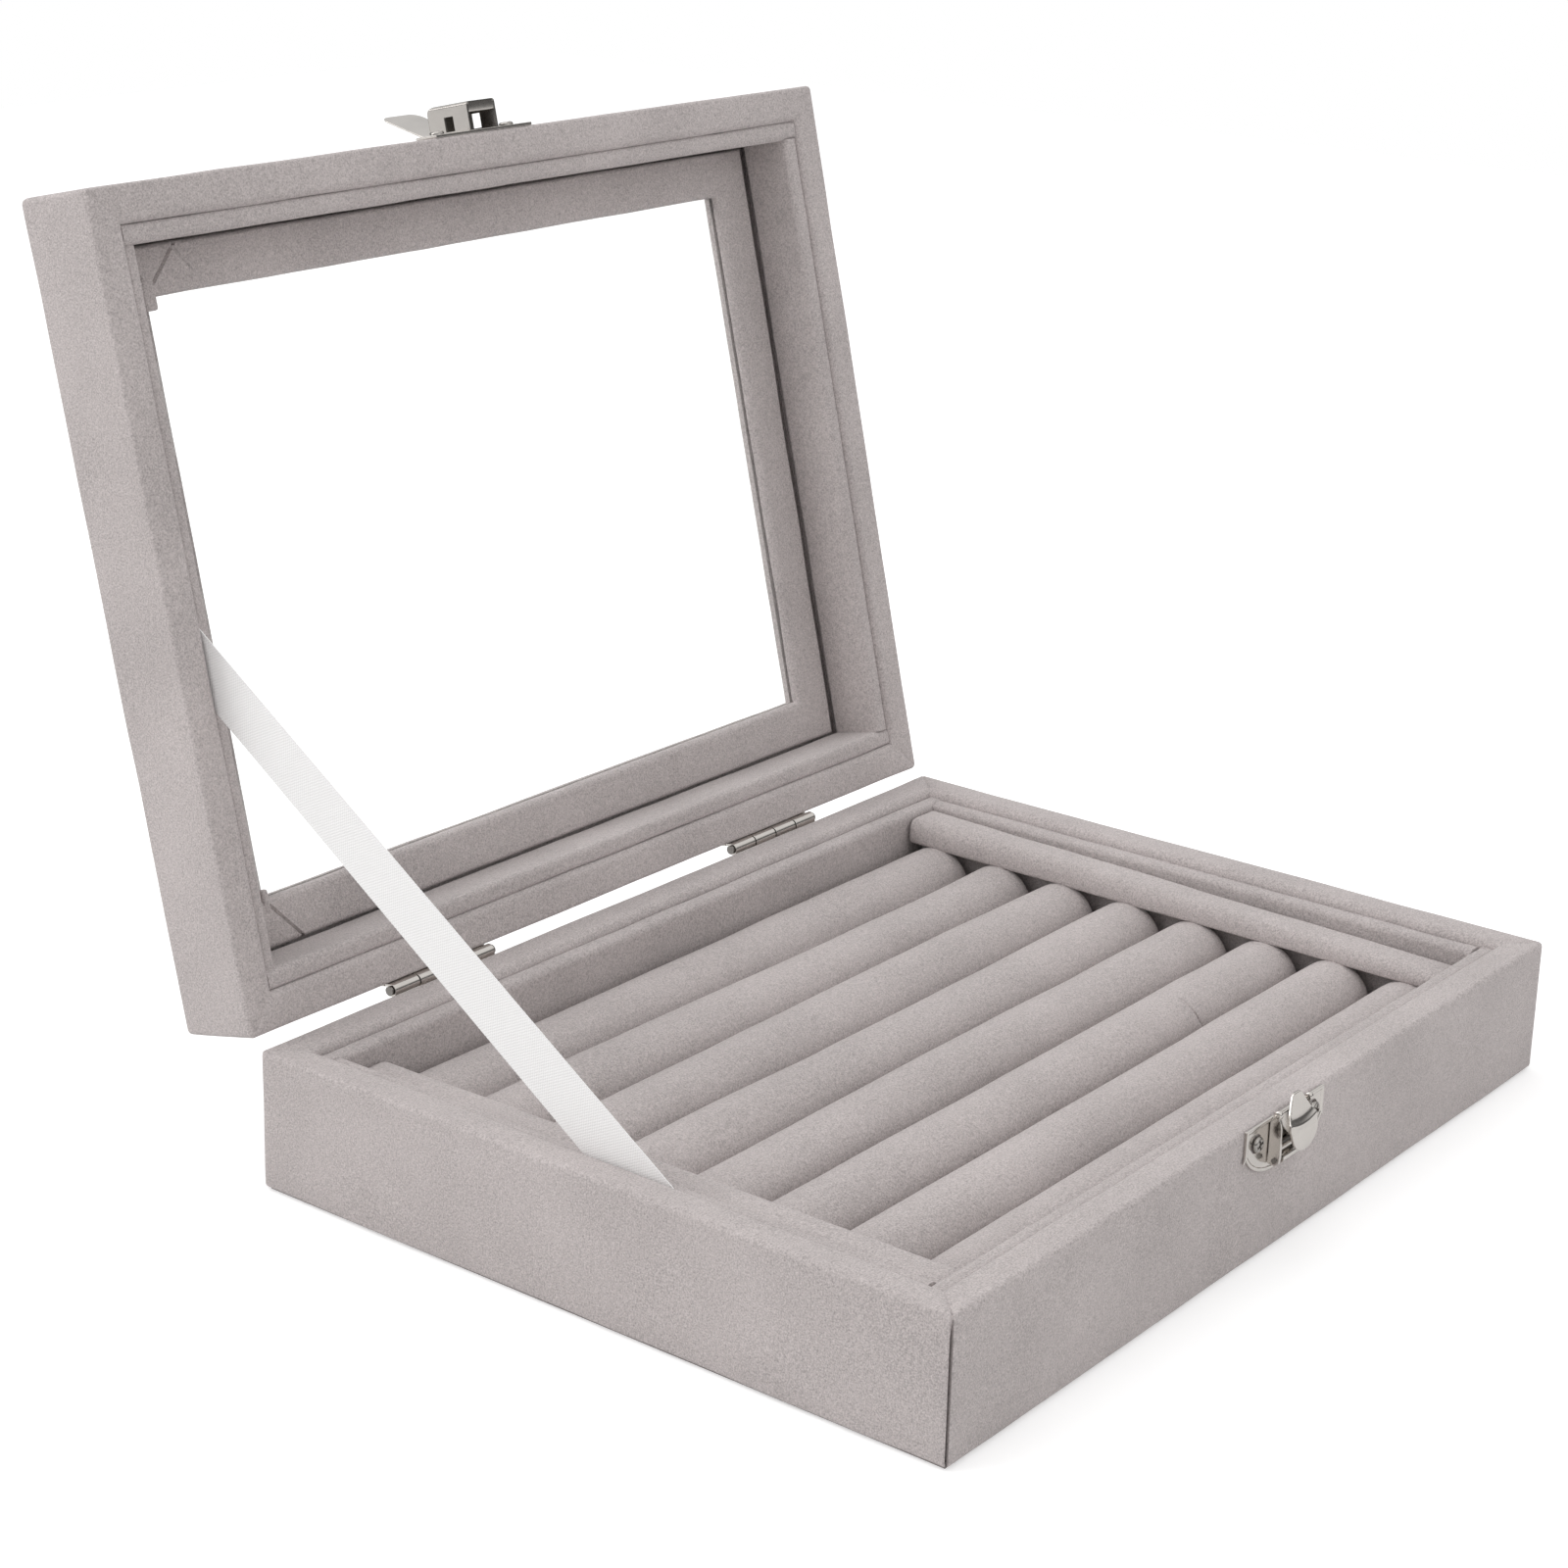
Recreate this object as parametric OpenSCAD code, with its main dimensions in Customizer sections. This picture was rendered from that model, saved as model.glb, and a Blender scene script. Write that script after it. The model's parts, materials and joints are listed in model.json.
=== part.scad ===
// Ring display box: a shallow velvet-covered case with eight padded ring rolls,
// a hinged lid with a glass window, a ribbon stay and a nickel press catch.
// The origin is at the middle of the underside. +X runs along the hinge, the
// catch is on the -Y side and the lid stands open as photographed.

/* [Box] */
// Width of the box along the hinge
box_w = 200; // [170:1:260]
// Depth of the box from front to back
box_d = 150; // [130:1:180]
// Height of the base, with its bottom cover
base_h = 27; // [25:0.5:36]
// Height of the lid
lid_h = 17.7; // [16:0.1:30]
// Gap between the rims when the lid is shut
seam_gap = 0.3; // [0.2:0.05:0.6]
// Angle that the lid stands open, where the ribbon goes taut
open_angle = 103.2; // [95:0.1:112]

/* [Walls and lining] */
// Thickness of the wrapped walls
wall_t = 7; // [6:0.25:9]
// Rounding of the wrapped rims and outer edges
edge_r = 2; // [0.5:0.1:2.8]
// Rounding of the base's lower outer edges
low_edge_r = 1; // [0.3:0.1:2]
// Thickness of the padded lining
liner_t = 3.5; // [2.5:0.1:5]
// Rounding of the lining's free edge
liner_r = 1.3; // [0.4:0.1:1.6]
// How far the base lining stops below the rim
base_liner_drop = 1.6; // [0.8:0.1:4]
// How far the lid lining stops below the rim
lid_liner_drop = 0.8; // [0.5:0.1:3]
// How far the lid's left lining stops inside its rim
lid_left_liner_drop = 2; // [0.5:0.1:3]

/* [Bottom and tray] */
// Thickness of the cloth cover under the base
cover_t = 0.5; // [0.3:0.1:1.5]
// Thickness of the base board
floor_t = 2.5; // [1.2:0.1:4]
// Thickness of the card that carries the ring rolls
tray_t = 1.2; // [0.5:0.1:2]
// Clearance between the tray and the lining
tray_clear = 0.3; // [0.2:0.05:1]
// Depth of the flat on which each ring roll rests
roll_flat = 0.5; // [0.3:0.1:1.5]
// Clearance between two ring rolls
roll_gap = 0.2; // [0.1:0.05:0.8]
// Rounding of the ends of a ring roll
roll_end_r = 4; // [1:0.25:6]

/* [End bars] */
// Width of the padded bar across the ends of the rolls
bar_w = 9.2; // [8:0.1:12]
// How far the bar stands above the rolls
bar_rise = 3.7; // [2:0.1:6]
// How far the bar's upper part reaches down beside the roll ends
bar_lap = 0.5; // [0.3:0.1:3]
// How far the bar overhangs the ends of the rolls
bar_overhang = 3.2; // [0.5:0.1:3.5]
// Rounding of the bar's upper edges
bar_r = 1.6; // [0.5:0.1:2]
// Gap between the bar and the lining
bar_gap = 0.8; // [0.7:0.05:1]

/* [Window] */
// Width of the wrapped frame beside the window
frame_side_w = 14.5; // [13:0.5:30]
// Width of the wrapped frame in front of and behind the window
frame_end_w = 13; // [12:0.5:30]
// Thickness of the wrapped frame over the glass
outer_frame_t = 1.8; // [1.2:0.1:3]
// Thickness of the glass
glass_t = 1.6; // [1:0.1:3]
// How far the glass laps under the frame
glass_lap = 6; // [2:0.25:6.4]
// Thickness of the padded frame inside the glass
inner_frame_t = 1.8; // [1.2:0.1:3]
// Rounding of the edges round the window
window_r = 1; // [0.3:0.1:1.2]
// How much narrower the inner frame's left strip is
inner_frame_left_cut = 4; // [0:0.1:4.5]
// Gap between the padded inner frame and the lid's lining
inner_frame_gap = 1; // [0.3:0.1:1.5]

/* [Hinges] */
// Distance between the middles of the two hinges
hinge_span = 100; // [60:1:130]
// Place of the middle between the hinges, to the right of the box's middle
hinge_shift = -2.3; // [-3:0.1:3]
// Length of a hinge
hinge_len = 27; // [24:1:40]
// Height of one hinge leaf from the pin
leaf_h = 7.6; // [7:0.1:12]
// Thickness of the hinge leaf
leaf_t = 0.5; // [0.4:0.05:0.8]
// Outer radius of the hinge knuckles
knuckle_r = 1.25; // [1.1:0.05:1.6]
// Radius of the hinge pin
hinge_pin_r = 0.6; // [0.4:0.05:0.7]
// Gap between neighbouring knuckles
knuckle_gap = 0.3; // [0.2:0.05:0.5]

/* [Catch] */
// Place of the catch's middle, to the right of the box's middle
catch_shift = -1.3; // [-3:0.1:3]
// Width of the catch plates
plate_w = 26.5; // [23:0.5:32]
// Height of the catch plates
plate_h = 10.8; // [10.2:0.1:13]
// Height of the straight sides of the catch plates
plate_side_h = 5; // [4:0.1:6]
// Thickness of the catch plates
plate_t = 0.6; // [0.5:0.05:0.8]
// Width of the press pad
pad_w = 10.6; // [10:0.1:12]
// Distance of the press pad's face from the plate
pad_out = 3.6; // [3.4:0.1:4.4]
// Width of the tongue that goes up into the keeper
tongue_w = 5.2; // [3:0.1:6]
// Width of the keeper on the lid
keeper_w = 7.8; // [7.6:0.1:9]
// Length of the keeper along the lid's height
keeper_len = 11; // [10:0.1:12]
// Distance of the keeper's face from the lid
keeper_out = 6; // [5.6:0.1:7]
// Thickness of the keeper's metal
keeper_t = 0.6; // [0.5:0.05:0.8]
// Length of the flared finger tab
tab_len = 12; // [8:0.5:14]
// Width of the flared finger tab
tab_w = 10; // [6:0.5:12]
// Rounding of the finger tab's corners
tab_r = 2.5; // [0.5:0.1:2.8]
// Angle of the flared finger tab to the lid's face
tab_angle = 24; // [10:1:30]

/* [Fasteners] */
// Distance between the screws of a catch plate
catch_screw_span = 19.2; // [18.8:0.1:20]
// Distance between the screws of a hinge leaf
hinge_screw_span = 16; // [12:0.5:18]
// Radius of a screw head
head_r = 1.6; // [1.3:0.05:1.8]
// Height of a screw head
head_h = 0.7; // [0.5:0.05:1]
// Length of one arm pair of a screw's cross recess
cross_len = 2; // [1.2:0.1:2.4]
// Width of a screw's cross recess
cross_w = 0.5; // [0.3:0.05:0.7]
// Radius of a screw shank
shank_r = 0.8; // [0.6:0.05:1]
// Length of a screw shank
shank_len = 4.5; // [3:0.1:5.5]

/* [Ribbon] */
// Width of the ribbon stay
ribbon_w = 10.3; // [8:0.1:14]
// Gap between the left wall and its lining, where the ribbon's ends go
ribbon_slot = 0.6; // [0.5:0.05:0.8]
// Thickness of the ribbon stay
ribbon_t = 0.3; // [0.2:0.05:0.4]
// Place of the ribbon's end on the base, in front of the middle
ribbon_base_y = -11.2; // [-20:0.1:10]
// Depth of the ribbon's lower end below the base's rim
ribbon_base_drop = 5.5; // [3:0.1:8]
// Depth of the ribbon's upper end inside the lid's rim
ribbon_lid_depth = 8; // [4:0.1:9]
// Place of the ribbon's end on the lid, behind the middle of the shut lid
ribbon_lid_y = 2.4; // [0:0.1:30]

/* [Hidden] */
$fn = 48;
small_fn = 32;
roll_n = 8;
// Clearances
run_clear = 0.05;
side_clear = 0.3;
hole_clear = 0.05;
// Vertical layers of the base
floor_z = cover_t;
tray_z = floor_z + floor_t;
roll_z = tray_z + tray_t;
// Inside of the walls and of the lining
wall_in_x = box_w/2 - wall_t;
wall_in_y = box_d/2 - wall_t;
liner_in_x = wall_in_x - liner_t;
liner_in_y = wall_in_y - liner_t;
// Ring rolls
roll_pitch = 2*liner_in_y/roll_n;
roll_r = roll_pitch/2 - roll_gap/2;
roll_axis_z = roll_z + roll_r - roll_flat;
roll_top_z = roll_axis_z + roll_r;
bar_out_x = liner_in_x - bar_gap;
bar_in_x = bar_out_x - bar_w;
bar_foot_x = bar_in_x + bar_overhang;
roll_end_x = bar_foot_x - side_clear;
bar_top_z = roll_top_z + bar_rise;
bar_under_z = roll_top_z - bar_lap;
bar_end_y = liner_in_y - tray_clear;
bar_foot_r = 0.6;
// Lid, in its shut place
lid_z = base_h + seam_gap;
lid_top_z = lid_z + lid_h;
window_w = 2*(wall_in_x - frame_side_w);
window_d = 2*(wall_in_y - frame_end_w);
outer_frame_z = lid_top_z - outer_frame_t;
glass_z = outer_frame_z - glass_t;
inner_frame_z = glass_z - inner_frame_t;
lid_liner_top_z = inner_frame_z - 0.2;
// Hinge axis
axis_y = box_d/2 + knuckle_r + run_clear;
axis_z = base_h + seam_gap/2;
hinge_bore_r = hinge_pin_r + run_clear;
pin_head_r = hinge_pin_r + 0.3;
pin_head_h = 0.4;
hinge_screw_drop = leaf_h - 2.6;
knuckle_n = 4;
cross_depth = 0.5*head_h;
// Catch, on the front faces of base and lid
front_y = -box_d/2;
plate_top_z = base_h - 0.1;
plate_bottom_z = plate_top_z - plate_h;
keep_plate_z = lid_z + 0.3;
catch_screw_drop = 3.4;
plate_face_y = front_y - plate_t;
ear_t = 0.6;
ear_out = 2.3;
lever_axis_y = plate_face_y - 1.3;
lever_axis_z = plate_top_z - 7.6;
lever_pin_r = 0.5;
lever_barrel_r = 1.05;
lever_t = 0.8;
pad_face_y = plate_face_y - pad_out;
tongue_top_z = lid_z + 3.1;
tongue_in_y = plate_face_y - 1.4;
keeper_face_y = front_y - keeper_out;
keeper_z = lid_z + 0.3;
lip_in_y = keeper_face_y + 2;
lip_t = 0.6;
barb_y = lip_in_y + 0.15;
ear_x = pad_w/2 - 0.1;
hook_window = 2.8;
spring_w = 3.6;
spring_t = 0.25;
// Ribbon, close to the lining of the left side
ribbon_x = -(wall_in_x - ribbon_slot/2);
ribbon_base_z = base_h - ribbon_base_drop;
ribbon_lid_z = lid_z + ribbon_lid_depth;

// Colours of the finishes
velvet = [0.72, 0.69, 0.68];
velvet_shade = [0.62, 0.59, 0.58];
card = [0.55, 0.52, 0.51];
nickel = [0.80, 0.79, 0.77];
satin = [0.97, 0.96, 0.97];
clear_glass = [0.85, 0.92, 0.93, 0.35];

// Places its children, drawn in the shut lid, where the open lid is
module on_open_lid() {
    translate([0, axis_y, axis_z])
        rotate([-open_angle, 0, 0])
            translate([0, -axis_y, -axis_z])
                children();
}

// Turns a piece drawn for the front side to one of the four sides
module on_side(side) {
    rotate([0, 0, 90*side]) children();
}

// Half the box's depth or width, as the given side's distance from the middle
function side_out(side) = (side % 2 == 0) ? box_d/2 : box_w/2;
function side_half(side) = (side % 2 == 0) ? box_w/2 : box_d/2;

// Extrudes a section drawn in the YZ plane along X
module along_x(length) {
    rotate([90, 0, 90]) linear_extrude(length, center = true) children();
}

// Rectangle from the origin with each corner rounded by its own radius:
// lower left, lower right, upper right, upper left
module soft_rect(w, h, ll, lr, ur, ul) {
    difference() {
        square([w, h]);
        corner_cut(0, 0, ll, 1, 1);
        corner_cut(w, 0, lr, -1, 1);
        corner_cut(w, h, ur, -1, -1);
        corner_cut(0, h, ul, 1, -1);
    }
}

// What a rounded corner takes away, at x, y, with the inside towards sx, sy
module corner_cut(x, y, r, sx, sy) {
    if (r > 0) {
        translate([x, y]) scale_sign(sx, sy) difference() {
            translate([-1, -1]) square([r + 1, r + 1]);
            translate([r, r]) circle(r, $fn = small_fn);
        }
    }
}

module scale_sign(sx, sy) {
    mirror([sx < 0 ? 1 : 0, 0]) mirror([0, sy < 0 ? 1 : 0]) children();
}

// Outline that mitres the front strip of a frame at 45 degrees
module mitre_outline(half, out, depth) {
    polygon([[-half, -out], [half, -out], [half - depth, depth - out], [depth - half, depth - out]]);
}

// Front strip of a mitred frame: outer size 2*half by 2*out, section w deep and h high
module mitred_strip(half, out, w, h, ll, lr, ur, ul) {
    intersection() {
        translate([0, -out, 0]) along_x(2*half) soft_rect(w, h, ll, lr, ur, ul);
        translate([0, 0, -1]) linear_extrude(h + 2) mitre_outline(half, out, w);
    }
}

// One wall of the base or lid, with its rounded rim
module wall_strip(side, z, h, low_out, low_in, top_in, top_out) {
    on_side(side) translate([0, 0, z])
        mitred_strip(side_half(side), side_out(side), wall_t, h, low_out, low_in, top_in, top_out);
}

// Front and back lining run the full width, the side lining stands between them,
// and the left one leaves a gap for the ribbon
module lining(side, z, h, top_r, low_r) {
    half = (side % 2 == 0) ? wall_in_x : liner_in_y;
    slot = (side == 3) ? ribbon_slot : 0;
    on_side(side) translate([0, wall_t + slot - side_out(side), z])
        along_x(2*half) soft_rect(liner_t - slot, h, 0, low_r, top_r, 0);
}

// Screw drawn with its head towards -Y and its seat at the origin
module screw(cross) {
    difference() {
        union() {
            rotate([90, 0, 0]) cylinder(h = head_h*0.45, r = head_r, $fn = small_fn);
            translate([0, -head_h*0.45, 0]) rotate([90, 0, 0])
                cylinder(h = head_h*0.55, r1 = head_r, r2 = head_r*0.6, $fn = small_fn);
            rotate([-90, 0, 0]) cylinder(h = shank_len, r = shank_r, $fn = small_fn);
        }
        for (turn = [0, 90]) translate([0, -head_h, 0]) rotate([0, turn + cross, 0])
            cube([cross_len, 2*cross_depth, cross_w], center = true);
    }
}

// Clearance hole for a screw, through the plate and into the wall
module screw_hole(depth) {
    translate([0, -1, 0]) rotate([-90, 0, 0])
        cylinder(h = depth + 1, r = shank_r + hole_clear, $fn = small_fn);
}

// The catch's own middle
module on_catch() {
    translate([catch_shift, 0, 0]) children();
}

// The two screw places of a catch plate, at height z on the front face
module at_catch_screws(z) {
    for (s = [-1, 1]) translate([s*catch_screw_span/2, plate_face_y, z]) children();
}

// The four screw places of the hinge leaves of the base or the lid
module at_hinge_screws(z) {
    for (h = [-1, 1]) for (s = [-1, 1])
        translate([hinge_shift + h*hinge_span/2 + s*hinge_screw_span/2, box_d/2 + leaf_t, z])
            rotate([0, 0, 180]) children();
}

base_screw_z = axis_z - hinge_screw_drop;
lid_screw_z = axis_z + hinge_screw_drop;
catch_screw_z = plate_top_z - catch_screw_drop;
keeper_screw_z = keep_plate_z + catch_screw_drop;

module bottom_cover() {
    color(card) translate([0, 0, cover_t/2])
        cube([box_w - 2*low_edge_r, box_d - 2*low_edge_r, cover_t], center = true);
}

module base_floor() {
    color(card) translate([0, 0, floor_z + floor_t/2])
        cube([2*wall_in_x, 2*wall_in_y, floor_t], center = true);
}

module base_wall(side) {
    color(velvet) difference() {
        wall_strip(side, cover_t, base_h - cover_t, low_edge_r, 0, edge_r, edge_r);
        if (side == 0) on_catch() at_catch_screws(catch_screw_z) screw_hole(shank_len + 0.2);
        if (side == 2) at_hinge_screws(base_screw_z) screw_hole(shank_len + 0.2);
    }
}

module base_liner(side) {
    color(velvet_shade) lining(side, tray_z, base_h - base_liner_drop - tray_z, liner_r, 0);
}

module tray_card() {
    color(card) translate([0, 0, tray_z + tray_t/2])
        cube([2*bar_out_x, 2*bar_end_y, tray_t], center = true);
}

// Round padded roll with rounded ends and a flat underside
module ring_roll(index) {
    y = liner_in_y - roll_pitch*(index - 0.5);
    color(velvet) intersection() {
        translate([0, y, roll_axis_z]) rotate([0, 90, 0]) rotate_extrude() roll_section();
        translate([0, y, roll_z + roll_r]) cube([box_w, 2*roll_r + 1, 2*roll_r], center = true);
    }
}

// Half the long section of a roll, to be turned about its axis
module roll_section() {
    intersection() {
        union() {
            translate([0, -roll_end_x]) square([roll_r - roll_end_r, 2*roll_end_x]);
            translate([0, roll_end_r - roll_end_x]) square([roll_r, 2*(roll_end_x - roll_end_r)]);
            for (s = [-1, 1])
                translate([roll_r - roll_end_r, s*(roll_end_x - roll_end_r)]) circle(roll_end_r);
        }
        translate([0, -roll_end_x]) square([roll_r, 2*roll_end_x]);
    }
}

// Bar along Y whose foot stands behind the roll ends and whose top overhangs them
module end_bar(side) {
    foot_w = bar_w - bar_overhang;
    color(velvet) mirror([side < 0 ? 1 : 0, 0, 0]) rotate([90, 0, 0])
        linear_extrude(2*bar_end_y, center = true) union() {
            translate([bar_foot_x, roll_z]) square([foot_w, bar_top_z - roll_z - 2*bar_r]);
            translate([bar_in_x, bar_under_z])
                soft_rect(bar_w, bar_top_z - bar_under_z, bar_foot_r, 0, bar_r, bar_r);
        }
}

// Hinge leaf with two of the four knuckles; the first and third belong to the lid
module hinge_leaf(is_lid) {
    step = hinge_len/knuckle_n;
    up = is_lid ? 1 : -1;
    own = is_lid ? 0 : 1;
    difference() {
        union() {
            translate([-hinge_len/2, box_d/2, is_lid ? axis_z : axis_z - leaf_h])
                cube([hinge_len, leaf_t, leaf_h]);
            for (k = [own : 2 : knuckle_n - 1])
                translate([-hinge_len/2 + k*step + knuckle_gap/2, axis_y, axis_z])
                    rotate([0, 90, 0]) cylinder(h = step - knuckle_gap, r = knuckle_r);
        }
        for (k = [1 - own : 2 : knuckle_n - 1])
            translate([-hinge_len/2 + k*step - knuckle_gap/2, box_d/2 - 1, axis_z - knuckle_r - side_clear])
                cube([step + knuckle_gap, 2*knuckle_r + 3, 2*(knuckle_r + side_clear)]);
        translate([-hinge_len, axis_y, axis_z]) rotate([0, 90, 0])
            cylinder(h = 2*hinge_len, r = hinge_bore_r);
        for (s = [-1, 1]) translate([s*hinge_screw_span/2, box_d/2 + leaf_t + 1, axis_z + up*hinge_screw_drop])
            rotate([0, 0, 180]) screw_hole(3);
    }
}

module hinge_base_leaf(side) {
    color(nickel) translate([hinge_shift + side*hinge_span/2, 0, 0]) hinge_leaf(false);
}

module hinge_lid_leaf(side) {
    color(nickel) on_open_lid() translate([hinge_shift + side*hinge_span/2, 0, 0]) hinge_leaf(true);
}

module hinge_pin(side) {
    color(nickel) translate([hinge_shift + side*hinge_span/2, axis_y, axis_z]) rotate([0, 90, 0]) {
        cylinder(h = hinge_len, r = hinge_pin_r, center = true);
        for (s = [-1, 1]) translate([0, 0, s*(hinge_len + pin_head_h)/2])
            cylinder(h = pin_head_h, r = pin_head_r, center = true);
    }
}

module base_hinge_screws() {
    color(nickel) at_hinge_screws(base_screw_z) screw(20);
}

module lid_hinge_screws() {
    color(nickel) on_open_lid() at_hinge_screws(lid_screw_z) screw(35);
}

// Shield outline of a catch plate: straight top edge at the origin, curved lower end
module shield() {
    drop = plate_h - plate_side_h;
    arc_r = (plate_w*plate_w/4 + drop*drop)/(2*drop);
    intersection() {
        translate([-plate_w/2, -plate_h]) square([plate_w, plate_h]);
        union() {
            translate([-plate_w/2, -plate_side_h]) square([plate_w, plate_side_h]);
            translate([0, arc_r - plate_h]) circle(arc_r, $fn = 96);
        }
    }
}

// Plate of the shield outline standing on the front face
module shield_plate() {
    translate([0, front_y, 0]) rotate([90, 0, 0]) linear_extrude(plate_t) shield();
}

module catch_plate() {
    color(nickel) on_catch() difference() {
        union() {
            translate([0, 0, plate_top_z]) shield_plate();
            for (s = [-1, 1]) translate([s*ear_x, 0, 0]) catch_ear();
        }
        at_catch_screws(catch_screw_z) screw_hole(3);
        translate([-plate_w/2, lever_axis_y, lever_axis_z]) rotate([0, 90, 0])
            cylinder(h = plate_w, r = lever_pin_r + run_clear, $fn = small_fn);
    }
}

// Ear that holds the lever's pin, round at its lower end and leaning back above the pin
module catch_ear() {
    pin_y = lever_axis_y - plate_face_y;
    ear_r = ear_out + pin_y;
    ear_top = plate_top_z - lever_axis_z - 1.2;
    translate([0, lever_axis_y, lever_axis_z]) along_x(ear_t) {
        circle(ear_r, $fn = small_fn);
        polygon([[-pin_y, -ear_r], [0, -ear_r], [-ear_r, 0], [-ear_r, ear_r],
                 [0.3 - ear_r*0.2, ear_top], [-pin_y, ear_top]]);
    }
}

// Side section of the lever: pad, neck and barbed tongue, with the pin's barrel left to the pivot
module lever_section() {
    face = pad_face_y - lever_axis_y;
    barb = barb_y - lever_axis_y;
    inner = tongue_in_y - lever_axis_y;
    polygon([
        [-0.3, -0.7], [face + 0.5, -1.1], [face, 0.6], [face - 0.1, 5.2], [face + 0.5, 6.9],
        [barb + 0.35, 7.7], [barb + 0.35, lid_z + 1.15 - lever_axis_z],
        [barb, lid_z + 1.3 - lever_axis_z], [inner - 0.4, tongue_top_z - lever_axis_z],
        [inner, tongue_top_z - lever_axis_z], [inner, 7.2], [inner - 0.6, 6.2],
        [face + lever_t, 5.2], [face + lever_t, 1.4], [-0.3, 0.7]
    ]);
}

// Front outline of the lever: round pad, narrow tongue
module lever_outline() {
    pad_r = pad_w/2;
    translate([0, pad_r - 2.4]) circle(pad_r);
    translate([-pad_r, pad_r - 2.4]) square([pad_w, 4.2]);
    translate([-tongue_w/2, 0]) square([tongue_w, 20]);
}

module catch_lever() {
    inner_w = 2*(ear_x - ear_t/2 - side_clear);
    color(nickel) on_catch() difference() {
        union() {
            intersection() {
                translate([0, lever_axis_y, lever_axis_z]) along_x(pad_w) lever_section();
                translate([0, front_y, lever_axis_z]) rotate([90, 0, 0])
                    linear_extrude(12) lever_outline();
            }
            translate([0, lever_axis_y, lever_axis_z]) rotate([0, 90, 0])
                cylinder(h = inner_w, r = lever_barrel_r, center = true, $fn = small_fn);
        }
        for (s = [-1, 1]) translate([s*(inner_w/2 + 5), plate_face_y, lever_axis_z])
            cube([10, 2*(ear_out + side_clear), 30], center = true);
        translate([0, lever_axis_y, lever_axis_z]) rotate([0, 90, 0])
            cylinder(h = 2*pad_w, r = lever_pin_r + run_clear, center = true, $fn = small_fn);
    }
}

module catch_pin() {
    color(nickel) on_catch() translate([0, lever_axis_y, lever_axis_z]) rotate([0, 90, 0])
        cylinder(h = 2*ear_x + ear_t + 0.6, r = lever_pin_r, center = true, $fn = small_fn);
}

// Leaf spring on the plate, behind the pad
module catch_spring() {
    low = lever_barrel_r + side_clear;
    tip = pad_out - lever_t - side_clear;
    color(nickel) on_catch() translate([0, plate_face_y, lever_axis_z + low]) along_x(spring_w)
        polygon([[0, 0], [-spring_t, 0], [-spring_t - 0.05, 0.8], [-tip, 3], [-tip + 0.1, 3 + spring_t],
                 [-0.05, 1.1], [0, 1.1]]);
}

module catch_screws() {
    color(nickel) on_catch() at_catch_screws(catch_screw_z) screw(40);
}

// Ribbon from the base's left lining up to the lid's left lining, drawn taut
module ribbon_stay() {
    lid_y = ribbon_lid_y - axis_y;
    lid_zz = ribbon_lid_z - axis_z;
    end_y = axis_y + lid_y*cos(open_angle) + lid_zz*sin(open_angle);
    end_z = axis_z - lid_y*sin(open_angle) + lid_zz*cos(open_angle);
    run_y = end_y - ribbon_base_y;
    run_z = end_z - ribbon_base_z;
    length = sqrt(run_y*run_y + run_z*run_z);
    color(satin) translate([ribbon_x, ribbon_base_y, ribbon_base_z])
        rotate([atan2(run_z, run_y), 0, 0])
            translate([0, length/2, 0]) cube([ribbon_t, length, ribbon_w], center = true);
}

module lid_wall(side) {
    color(velvet) on_open_lid() difference() {
        wall_strip(side, lid_z, lid_h, edge_r, edge_r, 0, edge_r);
        if (side == 0) on_catch() at_catch_screws(keeper_screw_z) screw_hole(shank_len + 0.2);
        if (side == 2) at_hinge_screws(lid_screw_z) screw_hole(shank_len + 0.2);
    }
}

module lid_liner(side) {
    low = lid_z + (side == 3 ? lid_left_liner_drop : lid_liner_drop);
    color(velvet_shade) on_open_lid() lining(side, low, lid_liner_top_z - low, 0, liner_r);
}

// One mitred strip of a flat frame round the window, between half sizes out_x, out_y and the opening,
// which reaches further to the left by left_more
module window_strip(side, out_x, out_y, z, t, low_r, top_r, left_more) {
    half = (side % 2 == 0) ? out_x : out_y;
    out = (side % 2 == 0) ? out_y : out_x;
    open_out = (side % 2 == 0) ? window_d/2 : window_w/2 + (side == 3 ? left_more : 0);
    open_half = (side % 2 == 0) ? window_w/2 : window_d/2;
    open_a = open_half + (side == 0 ? left_more : 0);
    open_b = open_half + (side == 2 ? left_more : 0);
    on_side(side) translate([0, 0, z]) intersection() {
        translate([0, -out, 0]) along_x(2*half) soft_rect(out - open_out, t, 0, low_r, top_r, 0);
        translate([0, 0, -1]) linear_extrude(t + 2)
            polygon([[-half, -out], [half, -out], [open_b, -open_out], [-open_a, -open_out]]);
    }
}

module outer_frame(side) {
    color(velvet) on_open_lid()
        window_strip(side, wall_in_x, wall_in_y, outer_frame_z, outer_frame_t, 0, window_r, 0);
}

module inner_frame(side) {
    color(velvet_shade) on_open_lid()
        window_strip(side, liner_in_x - inner_frame_gap, liner_in_y - side_clear,
                     inner_frame_z, inner_frame_t, window_r, 0, inner_frame_left_cut);
}

module glass_pane() {
    color(clear_glass) on_open_lid() translate([0, 0, glass_z + glass_t/2])
        cube([window_w + 2*glass_lap, window_d + 2*glass_lap, glass_t], center = true);
}

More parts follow.
